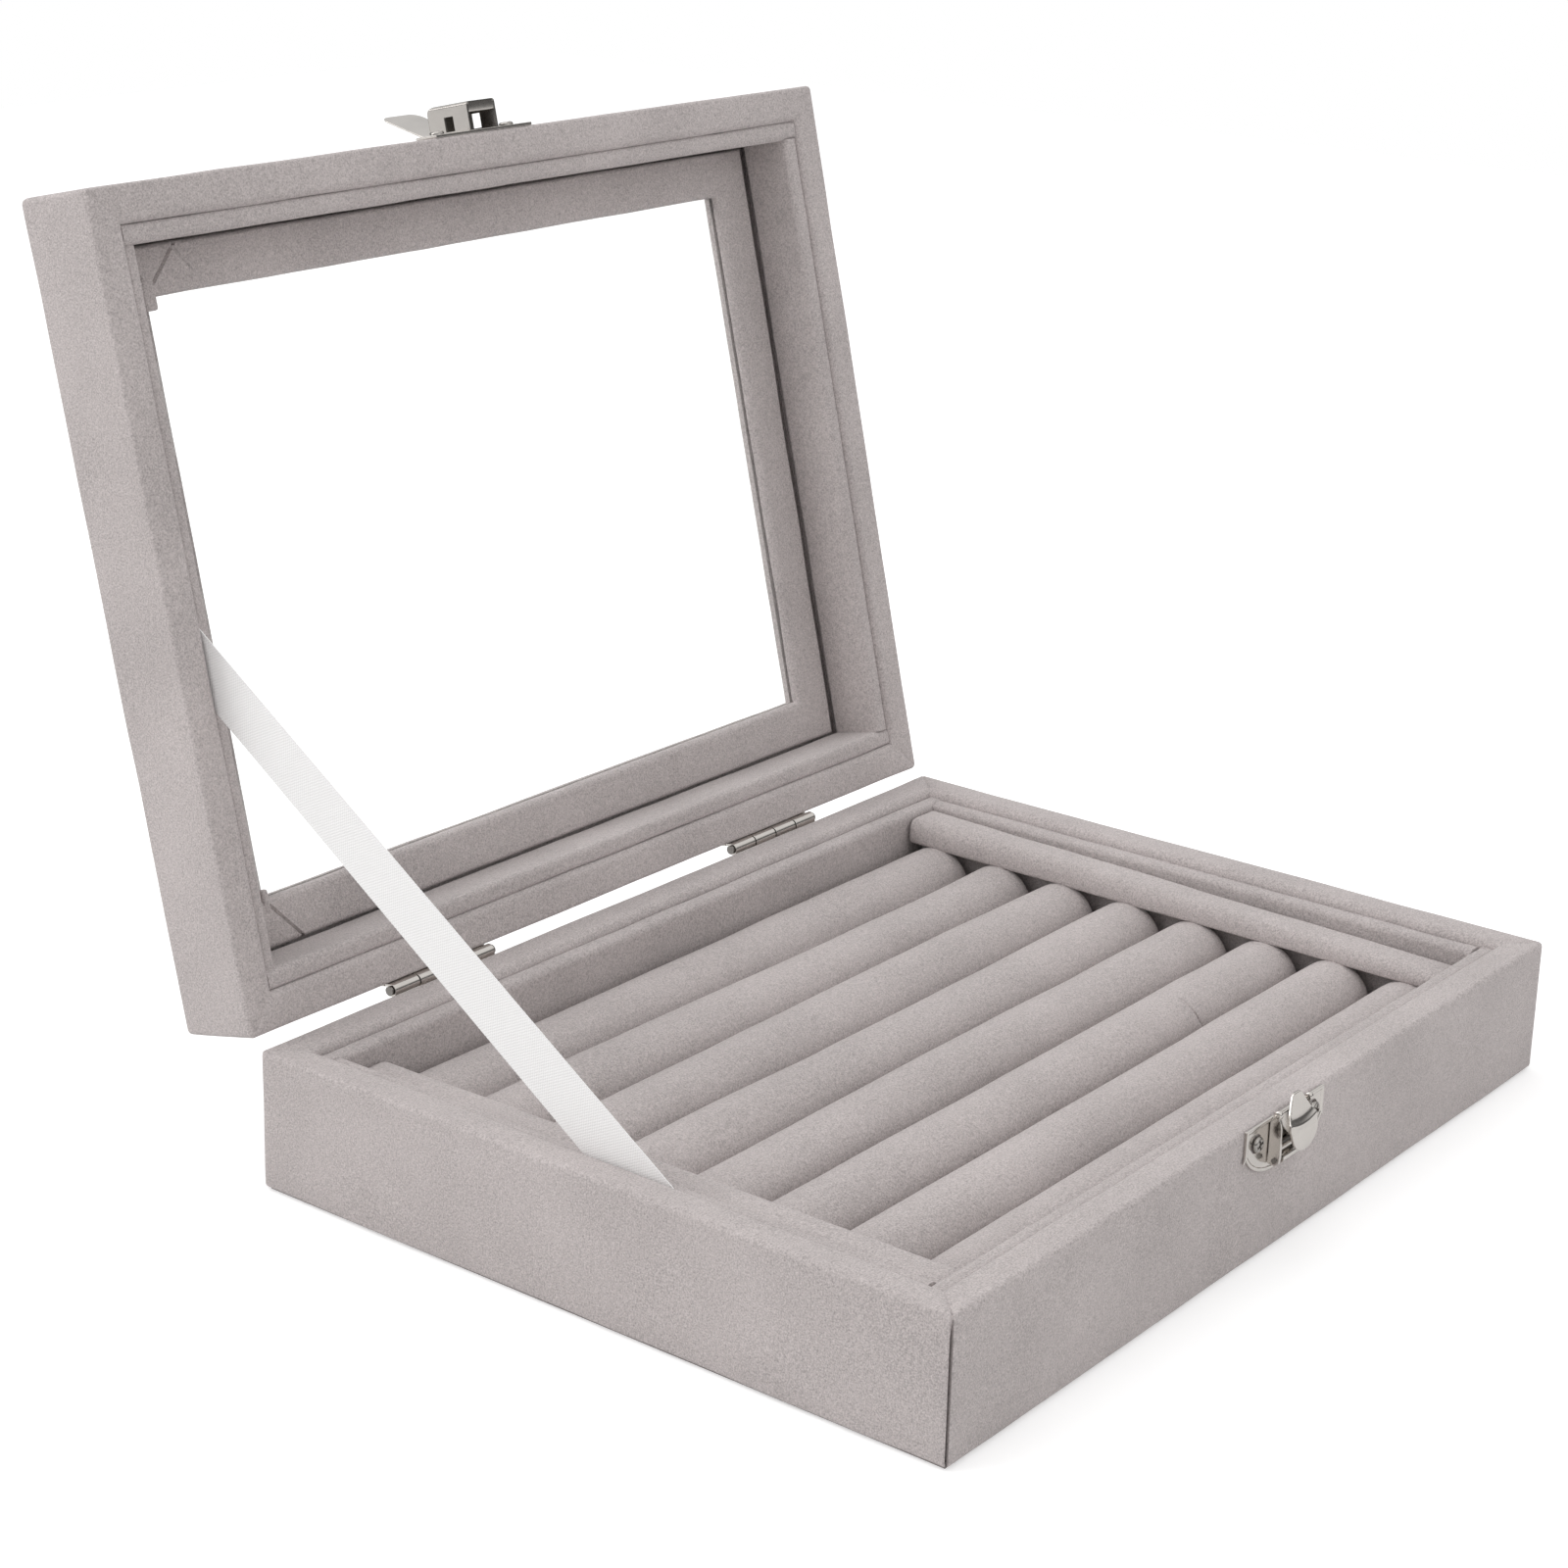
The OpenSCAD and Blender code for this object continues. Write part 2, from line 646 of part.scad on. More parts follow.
// Lid plate with the shield outline turned up, and a finger tab that flares from its far end
module keeper_plate() {
    tab_z = keeper_z + keeper_len + side_clear;
    neck = tab_z - keep_plate_z - plate_side_h;
    color(nickel) on_open_lid() on_catch() difference() {
        union() {
            translate([0, 0, keep_plate_z]) mirror([0, 0, 1]) shield_plate();
            translate([0, plate_face_y, tab_z]) intersection() {
                along_x(2*tab_w) polygon([
                    [0, -neck], [plate_t, -neck], [plate_t, plate_t*tan(tab_angle/2)],
                    [plate_t*cos(tab_angle) - tab_len*sin(tab_angle), plate_t*sin(tab_angle) + tab_len*cos(tab_angle)],
                    [-tab_len*sin(tab_angle), tab_len*cos(tab_angle)], [0, 0]]);
                rotate([90 + tab_angle, 0, 0]) translate([0, 0, -tab_len]) linear_extrude(2*tab_len)
                    translate([-tab_w/2, -2*neck]) soft_rect(tab_w, 2*neck + tab_len, 0, 0, tab_r, tab_r);
            }
        }
        at_catch_screws(keeper_screw_z) screw_hole(3);
    }
}

// Channel on the lid plate that the tongue enters, with a lip for the barb and a window in each side
module keeper_hook() {
    depth = keeper_out - plate_t;
    inner = keeper_w - 2*keeper_t;
    color(nickel) on_open_lid() on_catch() translate([0, keeper_face_y, keeper_z]) difference() {
        along_x(keeper_w) soft_rect(depth, keeper_len, 0, 0, 0, 1.8);
        translate([0, keeper_t, lip_t]) along_x(inner) soft_rect(depth, keeper_len, 0, 0, 0, 1.2);
        translate([0, lip_in_y - keeper_face_y, -1]) along_x(inner) square([depth, 4]);
        translate([0, depth - hook_window - 0.3, 4]) along_x(2*keeper_w) square([hook_window, hook_window]);
    }
}

module keeper_screws() {
    color(nickel) on_open_lid() on_catch() at_catch_screws(keeper_screw_z) screw(15);
}

bottom_cover();
base_floor();
base_wall(0);  // base_front_wall
base_wall(1);  // base_right_wall
base_wall(2);  // base_back_wall
base_wall(3);  // base_left_wall
base_liner(0);  // base_front_liner
base_liner(1);  // base_right_liner
base_liner(2);  // base_back_liner
base_liner(3);  // base_left_liner
tray_card();
ring_roll(1);  // ring_roll_1
ring_roll(2);  // ring_roll_2
ring_roll(3);  // ring_roll_3
ring_roll(4);  // ring_roll_4
ring_roll(5);  // ring_roll_5
ring_roll(6);  // ring_roll_6
ring_roll(7);  // ring_roll_7
ring_roll(8);  // ring_roll_8
end_bar(-1);  // left_end_bar
end_bar(1);  // right_end_bar
hinge_base_leaf(-1);  // left_hinge_base_leaf
hinge_base_leaf(1);  // right_hinge_base_leaf
hinge_pin(-1);  // left_hinge_pin
hinge_pin(1);  // right_hinge_pin
base_hinge_screws();
catch_plate();
catch_lever();
catch_pin();
catch_spring();
catch_screws();
ribbon_stay();
lid_wall(0);  // lid_front_wall
lid_wall(1);  // lid_right_wall
lid_wall(2);  // lid_back_wall
lid_wall(3);  // lid_left_wall
lid_liner(0);  // lid_front_liner
lid_liner(1);  // lid_right_liner
lid_liner(2);  // lid_back_liner
lid_liner(3);  // lid_left_liner
outer_frame(0);  // outer_frame_front
outer_frame(1);  // outer_frame_right
outer_frame(2);  // outer_frame_back
outer_frame(3);  // outer_frame_left
inner_frame(0);  // inner_frame_front
inner_frame(1);  // inner_frame_right
inner_frame(2);  // inner_frame_back
inner_frame(3);  // inner_frame_left
glass_pane();
hinge_lid_leaf(-1);  // left_hinge_lid_leaf
hinge_lid_leaf(1);  // right_hinge_lid_leaf
lid_hinge_screws();
keeper_plate();
keeper_hook();
keeper_screws();
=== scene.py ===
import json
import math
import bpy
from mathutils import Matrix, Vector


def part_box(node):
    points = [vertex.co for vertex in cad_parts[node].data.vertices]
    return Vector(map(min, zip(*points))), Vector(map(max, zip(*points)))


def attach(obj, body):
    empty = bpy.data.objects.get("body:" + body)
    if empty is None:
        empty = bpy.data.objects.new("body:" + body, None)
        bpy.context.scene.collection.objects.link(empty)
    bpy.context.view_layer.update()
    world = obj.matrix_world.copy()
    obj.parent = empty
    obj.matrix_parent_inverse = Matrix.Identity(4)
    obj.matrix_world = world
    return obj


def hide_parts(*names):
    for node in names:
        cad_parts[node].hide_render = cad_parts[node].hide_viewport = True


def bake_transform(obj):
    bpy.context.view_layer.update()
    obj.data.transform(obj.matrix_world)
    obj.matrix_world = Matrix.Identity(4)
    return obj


bl_info = {
    "name": "Ring display box",
    "version": (1, 0, 0),
    "blender": (4, 5, 0),
    "location": "3D View > Sidebar > Ring Box",
    "description": "Builds a velvet ring display box with a glass lid round its packed frame",
    "category": "Add Mesh",
}

import bmesh
import bpy
from bpy.props import FloatProperty, FloatVectorProperty, PointerProperty
from mathutils import Matrix, Vector, noise

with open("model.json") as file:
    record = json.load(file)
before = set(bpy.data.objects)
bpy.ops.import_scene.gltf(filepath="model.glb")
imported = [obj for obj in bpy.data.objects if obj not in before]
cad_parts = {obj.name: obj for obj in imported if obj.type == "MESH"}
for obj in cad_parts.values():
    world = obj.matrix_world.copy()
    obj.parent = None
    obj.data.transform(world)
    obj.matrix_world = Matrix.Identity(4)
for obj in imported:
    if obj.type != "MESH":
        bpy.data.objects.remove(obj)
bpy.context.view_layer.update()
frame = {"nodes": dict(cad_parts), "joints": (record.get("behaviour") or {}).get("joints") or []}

MM = 0.001
NODES = frame["nodes"]
SIDES = ("front", "right", "back", "left")
# Two places that lie this close count as one, when edges and corners are looked up by place
NEAR = 1e-5
SAME = 1e-6
CLOTH_FRAMES = 16
# How far the mitre seams run in from the corners, over the wall and its lining's gap
SEAM_REACH = 6.4*MM

# The lid is modelled shut and then turned open about the hinge
HINGE = next(j for j in frame["joints"] if j["name"] == "lid_hinge")
HINGE_AXIS = Vector(HINGE["pos_m"])
OPEN_ANGLE = math.radians(HINGE["range_deg"][1])
OPEN_LID = (Matrix.Translation(HINGE_AXIS) @ Matrix.Rotation(-OPEN_ANGLE, 4, "X")
            @ Matrix.Translation(-HINGE_AXIS))
SHUT_LID = OPEN_LID.inverted()


def shut_box(node):
    """Lowest and highest corner of a lid node, with the lid shut."""
    places = [SHUT_LID @ v.co for v in NODES[node].data.vertices]
    return (Vector([min(p[i] for p in places) for i in range(3)]),
            Vector([max(p[i] for p in places) for i in range(3)]))


# ---- Hand tools -------------------------------------------------------------

def choose(*pieces):
    """Selects these pieces and nothing else, and makes the first one active."""
    bpy.ops.object.select_all(action="DESELECT")
    for piece in pieces:
        piece.select_set(True)
    bpy.context.view_layer.objects.active = pieces[0]


class editing:
    """Opens a piece in edit mode with nothing selected, and closes it again."""

    def __init__(self, piece):
        self.piece = piece

    def __enter__(self):
        choose(self.piece)
        bpy.ops.object.mode_set(mode="EDIT")
        bpy.ops.mesh.select_mode(type="VERT")
        bpy.ops.mesh.select_all(action="DESELECT")
        return self.piece

    def __exit__(self, *args):
        bpy.ops.object.mode_set(mode="OBJECT")


def pick(piece, kind, test):
    """In edit mode, selects what passes the test.

    A VERT is tested by its place, an EDGE by its middle and run, and a FACE by its middle and normal.
    """
    bpy.ops.mesh.select_mode(type=kind)
    bpy.ops.mesh.select_all(action="DESELECT")
    mesh = bmesh.from_edit_mesh(piece.data)
    count = 0
    for part in {"VERT": mesh.verts, "EDGE": mesh.edges, "FACE": mesh.faces}[kind]:
        if kind == "VERT":
            found = test(part.co)
        elif kind == "EDGE":
            a, b = (v.co for v in part.verts)
            found = test((a + b)/2, b - a)
        else:
            found = test(part.calc_center_median(), part.normal)
        if found:
            part.select_set(True)
            count += 1
    mesh.select_flush_mode()
    bmesh.update_edit_mesh(piece.data)
    return count


def weigh(piece, weight, test):
    """In edit mode, gives the edges that pass the test a bevel weight."""
    mesh = bmesh.from_edit_mesh(piece.data)
    layer = (mesh.edges.layers.float.get("bevel_weight_edge")
             or mesh.edges.layers.float.new("bevel_weight_edge"))
    for edge in mesh.edges:
        a, b = (v.co for v in edge.verts)
        if test((a + b)/2, b - a):
            edge[layer] = weight
    bmesh.update_edit_mesh(piece.data)


def settle(piece, name):
    """Names a piece and puts its place into its mesh."""
    choose(piece)
    bpy.ops.object.transform_apply(location=True, rotation=True, scale=True)
    piece.name = piece.data.name = name
    return piece


def block(name, low, high):
    """A block from corner to corner, as a start."""
    low, high = Vector(low), Vector(high)
    bpy.ops.object.select_all(action="DESELECT")
    bpy.ops.mesh.primitive_cube_add(size=1, location=(low + high)/2, scale=high - low)
    return settle(bpy.context.object, name)


def apply_modifier(piece, kind, **values):
    """Adds a modifier, sets it and applies it."""
    choose(piece)
    bpy.ops.object.modifier_add(type=kind)
    modifier = piece.modifiers[-1]
    for key, value in values.items():
        setattr(modifier, key, value)
    bpy.ops.object.modifier_apply(modifier=modifier.name)


def round_weighted(piece, width, segments=6):
    """Rounds the weighted edges, the full width where the weight is one."""
    apply_modifier(piece, "BEVEL", width=width, segments=segments, limit_method="WEIGHT",
                   use_clamp_overlap=False)


def cut_long(piece, step, axes=(0, 1, 2)):
    """Cuts the long straight edges along each axis into stretches of about one step."""
    with editing(piece):
        for axis in axes:
            lengths = []

            def runs_long(middle, run):
                if run.length > 1.6*step and abs(run[axis]) > 0.995*run.length:
                    lengths.append(run.length)
                    return True
                return False

            if pick(piece, "EDGE", runs_long):
                bpy.ops.mesh.subdivide(number_cuts=max(1, round(max(lengths)/step) - 1))


def soften(piece, amount, grain):
    """Gives a wrapped or padded surface its slight unevenness."""
    texture = bpy.data.textures.new(piece.name + "_unevenness", "CLOUDS")
    texture.noise_scale = grain
    texture.noise_depth = 1
    apply_modifier(piece, "DISPLACE", texture=texture, texture_coords="LOCAL", strength=amount, mid_level=0.5)


def crease(piece, point, normal, near, width, depth):
    """Presses a narrow seam into the surface where a plane crosses it, near a place."""
    normal = Vector(normal).normalized()
    point = Vector(point)
    with editing(piece):
        for shift in (-width/2, width/2, 0):
            pick(piece, "FACE", lambda middle, facing: near(middle))
            bpy.ops.mesh.bisect(plane_co=point + normal*shift, plane_no=normal, threshold=1e-7)
        pick(piece, "VERT", lambda place: near(place) and abs((place - point).dot(normal)) < 3*SAME)
        bpy.ops.transform.shrink_fatten(value=-depth)


def smooth(piece, angle):
    """Smooth shading, with the edges that turn by more than the angle left sharp."""
    choose(piece)
    bpy.ops.object.shade_smooth_by_angle(angle=math.radians(angle))


def polished(piece):
    """Smooth shading that leaves the flat faces of a metal piece flat."""
    smooth(piece, 45)
    apply_modifier(piece, "WEIGHTED_NORMAL", keep_sharp=True, weight=90)


def copy_of(piece, name, shift=(0, 0, 0)):
    """A copy of a piece with a mesh of its own, moved."""
    choose(piece)
    bpy.ops.object.duplicate(linked=False)
    twin = bpy.context.object
    twin.location = shift
    return settle(twin, name)


def joined(pieces, name):
    """Joins pieces into the first one."""
    choose(*pieces)
    bpy.ops.object.join()
    pieces[0].name = pieces[0].data.name = name
    return pieces[0]


def opened(piece):
    """Turns a piece that was modelled on the shut lid to the open lid."""
    piece.matrix_world = OPEN_LID
    return settle(piece, piece.name)


def moved(piece, rule):
    """Moves every point of a piece by a rule, as with a sculpting brush."""
    for v in piece.data.vertices:
        v.co = v.co + Vector(rule(v.co))


def traced(name, points, depth):
    """A shape traced point by point in one plane and drawn out to its thickness."""
    points = [Vector(p) for p in points]
    bpy.ops.object.select_all(action="DESELECT")
    bpy.ops.mesh.primitive_plane_add(size=MM, location=points[0])
    piece = settle(bpy.context.object, name)
    with editing(piece):
        bpy.ops.mesh.select_all(action="SELECT")
        bpy.ops.mesh.merge(type="CENTER")
        for a, b in zip(points, points[1:]):
            bpy.ops.mesh.extrude_region_move(TRANSFORM_OT_translate={"value": b - a})
        bpy.ops.mesh.select_all(action="SELECT")
        bpy.ops.mesh.edge_face_add()
        bpy.ops.mesh.extrude_region_move(TRANSFORM_OT_translate={"value": Vector(depth)})
        bpy.ops.mesh.select_all(action="SELECT")
        bpy.ops.mesh.normals_make_consistent(inside=False)
    return piece


def rod(name, start, end, radius, vertices=32):
    """A round bar from end to end, as a start."""
    start, end = Vector(start), Vector(end)
    run = end - start
    bpy.ops.object.select_all(action="DESELECT")
    bpy.ops.mesh.primitive_cylinder_add(vertices=vertices, radius=radius, depth=run.length,
                                        location=(start + end)/2,
                                        rotation=run.to_track_quat("Z", "Y").to_euler())
    return settle(bpy.context.object, name)


def cut_away(piece, tool):
    """Cuts a tool's shape out of a piece and throws the tool away."""
    apply_modifier(piece, "BOOLEAN", operation="DIFFERENCE", object=tool)
    bpy.data.objects.remove(tool, do_unlink=True)


def round_all(piece, width, segments=2, angle=30):
    """Rounds every edge that turns by more than the angle."""
    apply_modifier(piece, "BEVEL", width=width, segments=segments, limit_method="ANGLE",
                   angle_limit=math.radians(angle), use_clamp_overlap=True)


def swell(piece, pressure, cap, is_held):
    """Fills a padded piece as cloth under pressure, held where it is glued, and adds a subdivision.

    No point moves by more than the cap.
    """
    before = [v.co.copy() for v in piece.data.vertices]
    held = piece.vertex_groups.new(name="held")
    held.add([v.index for v in piece.data.vertices if is_held(v.co)], 1.0, "REPLACE")
    filling = piece.vertex_groups.new(name="filling")
    for v in piece.data.vertices:
        filling.add([v.index], min(1.0, max(0.1, 0.6 + noise.noise(v.co*55))), "REPLACE")
    choose(piece)
    bpy.ops.object.modifier_add(type="CLOTH")
    cloth = piece.modifiers[-1]
    for key, value in {
            "quality": 4, "mass": 0.3, "tension_stiffness": 5, "compression_stiffness": 5,
            "shear_stiffness": 2, "bending_stiffness": 0.3, "use_pressure": True,
            "uniform_pressure_force": pressure, "vertex_group_mass": "held",
            "vertex_group_pressure": "filling"}.items():
        setattr(cloth.settings, key, value)
    cloth.settings.effector_weights.gravity = 0
    cloth.collision_settings.use_collision = False
    cloth.collision_settings.use_self_collision = False
    cloth.point_cache.frame_start = 1
    cloth.point_cache.frame_end = CLOTH_FRAMES
    for step in range(1, CLOTH_FRAMES + 1):
        bpy.context.scene.frame_set(step)
    bpy.ops.object.modifier_apply(modifier=cloth.name)
    bpy.context.scene.frame_set(1)
    for v, place in zip(piece.data.vertices, before):
        move = v.co - place
        if move.length > 1e-9:
            v.co = place + move*(cap*math.tanh(move.length/cap)/move.length)
    piece.vertex_groups.clear()
    apply_modifier(piece, "SUBSURF", levels=1, render_levels=1)


def finished(piece, body, finish, nodes=()):
    """Gives a piece its finish and its body, and hides the nodes that it stands for."""
    piece.data.materials.clear()
    piece.data.materials.append(finish)
    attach(piece, body)
    if nodes:
        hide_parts(*nodes)
    return piece


# ---- Finishes ---------------------------------------------------------------

class NodeTree:
    """A short way to add and link the shader nodes of a material or a world."""

    def __init__(self, owner):
        owner.use_nodes = True
        self.owner = owner
        self.nodes = owner.node_tree.nodes
        self.links = owner.node_tree.links
        self.shader = self.nodes.get("Principled BSDF")

    def put(self, socket, value):
        """Links a socket, or sets it to a constant."""
        if isinstance(value, bpy.types.NodeSocket):
            self.links.new(value, socket)
        else:
            socket.default_value = value

    def add(self, kind, *values, **inputs):
        """Adds a node, with values for its first sockets and for its named ones, and gives its output."""
        node = self.nodes.new("ShaderNode" + kind)
        for socket, value in zip(node.inputs, values):
            self.put(socket, value)
        for key, value in inputs.items():
            self.put(node.inputs[key.replace("_", " ")], value)
        return node.outputs[0]

    def place(self, kind):
        """Coordinates of that kind."""
        return self.nodes.new("ShaderNodeTexCoord").outputs[kind]

    def ray(self, kind):
        """One for rays of that kind, and otherwise zero."""
        return self.nodes.new("ShaderNodeLightPath").outputs[f"Is {kind} Ray"]

    def split(self, vector):
        """The three outputs of a vector's parts."""
        node = self.nodes.new("ShaderNodeSeparateXYZ")
        self.links.new(vector, node.inputs[0])
        return node.outputs

    def noise(self, scale, detail, roughness):
        """Noise over the object's own coordinates, in cells per metre."""
        return self.add("TexNoise", self.place("Object"), Scale=scale, Detail=detail, Roughness=roughness)

    def math(self, operation, a, b, c=0.0):
        """The result of one operation on two or three values."""
        node = self.nodes.new("ShaderNodeMath")
        node.operation = operation
        for socket, value in zip(node.inputs, (a, b, c)):
            self.put(socket, value)
        return node.outputs[0]

    def ramp(self, value, stops):
        """The colour that a value from 0 to 1 has between stops."""
        node = self.nodes.new("ShaderNodeValToRGB")
        self.links.new(value, node.inputs["Fac"])
        ramp = node.color_ramp
        while len(ramp.elements) < len(stops):
            ramp.elements.new(0.5)
        for element, (at, color) in zip(ramp.elements, stops):
            element.position = at
            element.color = (*color, 1.0)
        return node.outputs["Color"]

    def bump(self, height, strength, distance):
        """A normal for that relief, whose depth is given in metres."""
        return self.add("Bump", Height=height, Strength=strength, Distance=distance)

    def set(self, **inputs):
        """Sets the main shader's sockets and gives the material."""
        for key, value in inputs.items():
            self.put(self.shader.inputs[key.replace("_", " ")], value)
        return self.owner

    def show(self, surface):
        """Links a surface to the output node."""
        out = self.nodes.get("Material Output") or self.nodes["World Output"]
        self.links.new(surface, out.inputs["Surface"])


def scaled(color, factor):
    """A lighter or darker colour."""
    return tuple(min(1.0, c*factor) for c in color)


def velvet_finish(name, color, sheen):
    """Short velvet: a fine mottled pile, brushed patches and a soft sheen."""
    tree = NodeTree(bpy.data.materials.new(name))
    pile = tree.noise(3000, detail=2.0, roughness=0.65)
    tufts = tree.noise(1100, detail=1.0, roughness=0.5)
    brushed = tree.noise(38, detail=3.0, roughness=0.55)
    patches = tree.math("MULTIPLY_ADD", tufts, 0.14, tree.math("MULTIPLY", brushed, 0.18))
    mottle = tree.math("MULTIPLY_ADD", pile, 0.68, patches)
    base = tree.ramp(mottle, [(0.36, scaled(color, 0.70)), (0.5, color), (0.64, scaled(color, 1.27))])
    height = tree.math("MULTIPLY_ADD", pile, 0.7, tree.math("MULTIPLY", tufts, 0.3))
    return tree.set(Base_Color=base, Normal=tree.bump(height, strength=0.7, distance=0.4*MM),
                    Roughness=0.95, Specular_IOR_Level=0.15, Sheen_Weight=sheen, Sheen_Roughness=0.45,
                    Sheen_Tint=(0.95, 0.92, 0.91, 1.0))


def nickel_finish(name, color, roughness):
    """Plated metal with a faint cloudiness and fine marks."""
    tree = NodeTree(bpy.data.materials.new(name))
    cloud = tree.noise(260, detail=3.0, roughness=0.6)
    marks = tree.noise(2600, detail=2.0, roughness=0.6)
    return tree.set(Base_Color=tree.ramp(cloud, [(0.3, scaled(color, 0.93)), (0.7, color)]), Metallic=1.0,
                    Roughness=tree.math("MULTIPLY_ADD", cloud, 0.12, roughness - 0.06),
                    Normal=tree.bump(marks, strength=0.08, distance=0.05*MM))


def satin_finish(name, color):
    """White satin ribbon: a fine weave that follows the ribbon."""
    tree = NodeTree(bpy.data.materials.new(name))
    place = tree.split(tree.place("UV"))
    along = tree.math("MULTIPLY", place["X"], 250.0)
    across = tree.math("MULTIPLY", place["Y"], 22.0)
    shifted = tree.math("MULTIPLY_ADD", tree.math("FLOOR", across, 0.0), 0.5, along)
    waves = [tree.math("SINE", tree.math("MULTIPLY", run, 2*math.pi), 0.0) for run in (shifted, across)]
    weave = tree.math("MULTIPLY_ADD", tree.math("MULTIPLY", *waves), 0.5, 0.5)
    base = tree.ramp(weave, [(0.0, scaled(color, 0.86)), (0.6, color), (1.0, scaled(color, 1.05))])
    return tree.set(Base_Color=base, Normal=tree.bump(weave, strength=0.5, distance=0.12*MM), Roughness=0.42,
                    Specular_IOR_Level=0.5, Sheen_Weight=0.15, Sheen_Roughness=0.4, Subsurface_Weight=0.0)


def glass_finish(name):
    """Clear glass with the faintest unevenness, which lets light through without a shadow."""
    tree = NodeTree(bpy.data.materials.new(name))
    wave = tree.noise(18, detail=1.0, roughness=0.4)
    material = tree.set(Base_Color=(0.985, 0.995, 0.99, 1.0), Roughness=0.0, IOR=1.45,
                        Transmission_Weight=1.0, Normal=tree.bump(wave, strength=0.01, distance=0.3*MM))
    tree.show(tree.add("MixShader", tree.ray("Shadow"), tree.shader.outputs[0], tree.add("BsdfTransparent")))
    return material


def card_finish(name, color):
    """Flocked card."""
    tree = NodeTree(bpy.data.materials.new(name))
    grain = tree.noise(1500, detail=2.0, roughness=0.6)
    return tree.set(Base_Color=tree.ramp(grain, [(0.3, scaled(color, 0.85)), (0.7, scaled(color, 1.1))]),
                    Normal=tree.bump(grain, strength=0.3, distance=0.2*MM), Roughness=0.95,
                    Specular_IOR_Level=0.1)


FINISHES = {}


def finish(kind):
    """The finish of that kind, made when first asked for."""
    looks = bpy.context.scene.ring_box_finish
    if kind not in FINISHES:
        FINISHES[kind] = {
            "velvet": lambda: velvet_finish("grey_velvet", tuple(looks.velvet), looks.sheen),
            "lining": lambda: velvet_finish("lining_velvet", scaled(looks.velvet, 0.97), looks.sheen),
            "nickel": lambda: nickel_finish("bright_nickel", tuple(looks.nickel), 0.16),
            "steel": lambda: nickel_finish("plain_steel", scaled(looks.nickel, 0.4), 0.3),
            # A darker copy of the same nickel, for the keeper's channel: painted shade, not a different metal
            "shaded": lambda: nickel_finish("painted_shade_nickel", scaled(looks.nickel, 0.74), 0.2),
            "screw": lambda: nickel_finish("screw_nickel_dark", scaled(looks.nickel, 0.62), 0.22),
            "satin": lambda: satin_finish("white_satin", tuple(looks.ribbon)),
            "glass": lambda: glass_finish("clear_glass"),
            "card": lambda: card_finish("flocked_card", scaled(looks.velvet, 0.7)),
        }[kind]()
    return FINISHES[kind]


# ---- Sizes and colours that a user would change ------------------------------

class RingBoxSizes(bpy.types.PropertyGroup):
    rim_round: FloatProperty(
        name="Rim rounding", description="Rounding of the wrapped rims", default=1.9*MM, unit="LENGTH")
    corner_round: FloatProperty(
        name="Corner rounding", description="Rounding of the upright corners", default=1.1*MM, unit="LENGTH")
    lining_round: FloatProperty(
        name="Lining rounding", description="Rounding of the lining's free edge", default=1.3*MM,
        unit="LENGTH")
    roll_end_round: FloatProperty(
        name="Roll end rounding", description="Rounding of the ends of the ring rolls", default=1.8*MM,
        unit="LENGTH")
    filling: FloatProperty(
        name="Filling", description="Pressure that fills the padded rolls and bars", default=250.0)
    unevenness: FloatProperty(
        name="Unevenness", description="Height of the waves in the wrapped velvet", default=0.3*MM,
        unit="LENGTH")


class RingBoxFinish(bpy.types.PropertyGroup):
    velvet: FloatVectorProperty(
        name="Velvet", description="Colour of the velvet", subtype="COLOR", default=(0.502, 0.455, 0.448))
    sheen: FloatProperty(
        name="Sheen", description="Strength of the velvet's sheen", default=0.35, min=0, max=1)
    nickel: FloatVectorProperty(
        name="Nickel", description="Colour of the metal fittings", subtype="COLOR",
        default=(0.66, 0.625, 0.59))
    ribbon: FloatVectorProperty(
        name="Ribbon", description="Colour of the satin ribbon", subtype="COLOR", default=(0.93, 0.92, 0.915))


# ---- Pieces -----------------------------------------------------------------

def is_edge_at(z, out_x, out_y):
    """A test for the edges of the rectangle out_x by out_y at height z."""
    def test(middle, run):
        on_side = abs(abs(middle.x) - out_x) < NEAR and abs(middle.y) < out_y + NEAR
        on_end = abs(abs(middle.y) - out_y) < NEAR and abs(middle.x) < out_x + NEAR
        level = abs(middle.z - z) < NEAR and abs(run.z) < NEAR
        return level and (on_side or on_end) and min(abs(run.x), abs(run.y)) < SAME
    return test


def is_beside(place, corner, reach):
    """True where a place lies within reach of a corner, seen from above."""
    return abs(place.x - corner.x) < reach and abs(place.y - corner.y) < reach


def is_upright(out_x, out_y):
    """A test for the upright edges at the corners."""
    return lambda middle, run: (abs(run.z) > 0.9*run.length and abs(abs(middle.x) - out_x) < NEAR
                                and abs(abs(middle.y) - out_y) < NEAR)


def corner_creases(piece, out_x, out_y, low, high, width, depth):
    """Seams along the mitre at the four corners, between two heights."""
    for sx in (-1, 1):
        for sy in (-1, 1):
            corner = Vector((sx*out_x, sy*out_y, 0))
            crease(piece, corner, (sy, -sx, 0),
                   lambda p: is_beside(p, corner, SEAM_REACH) and low < p.z < high, width, depth)


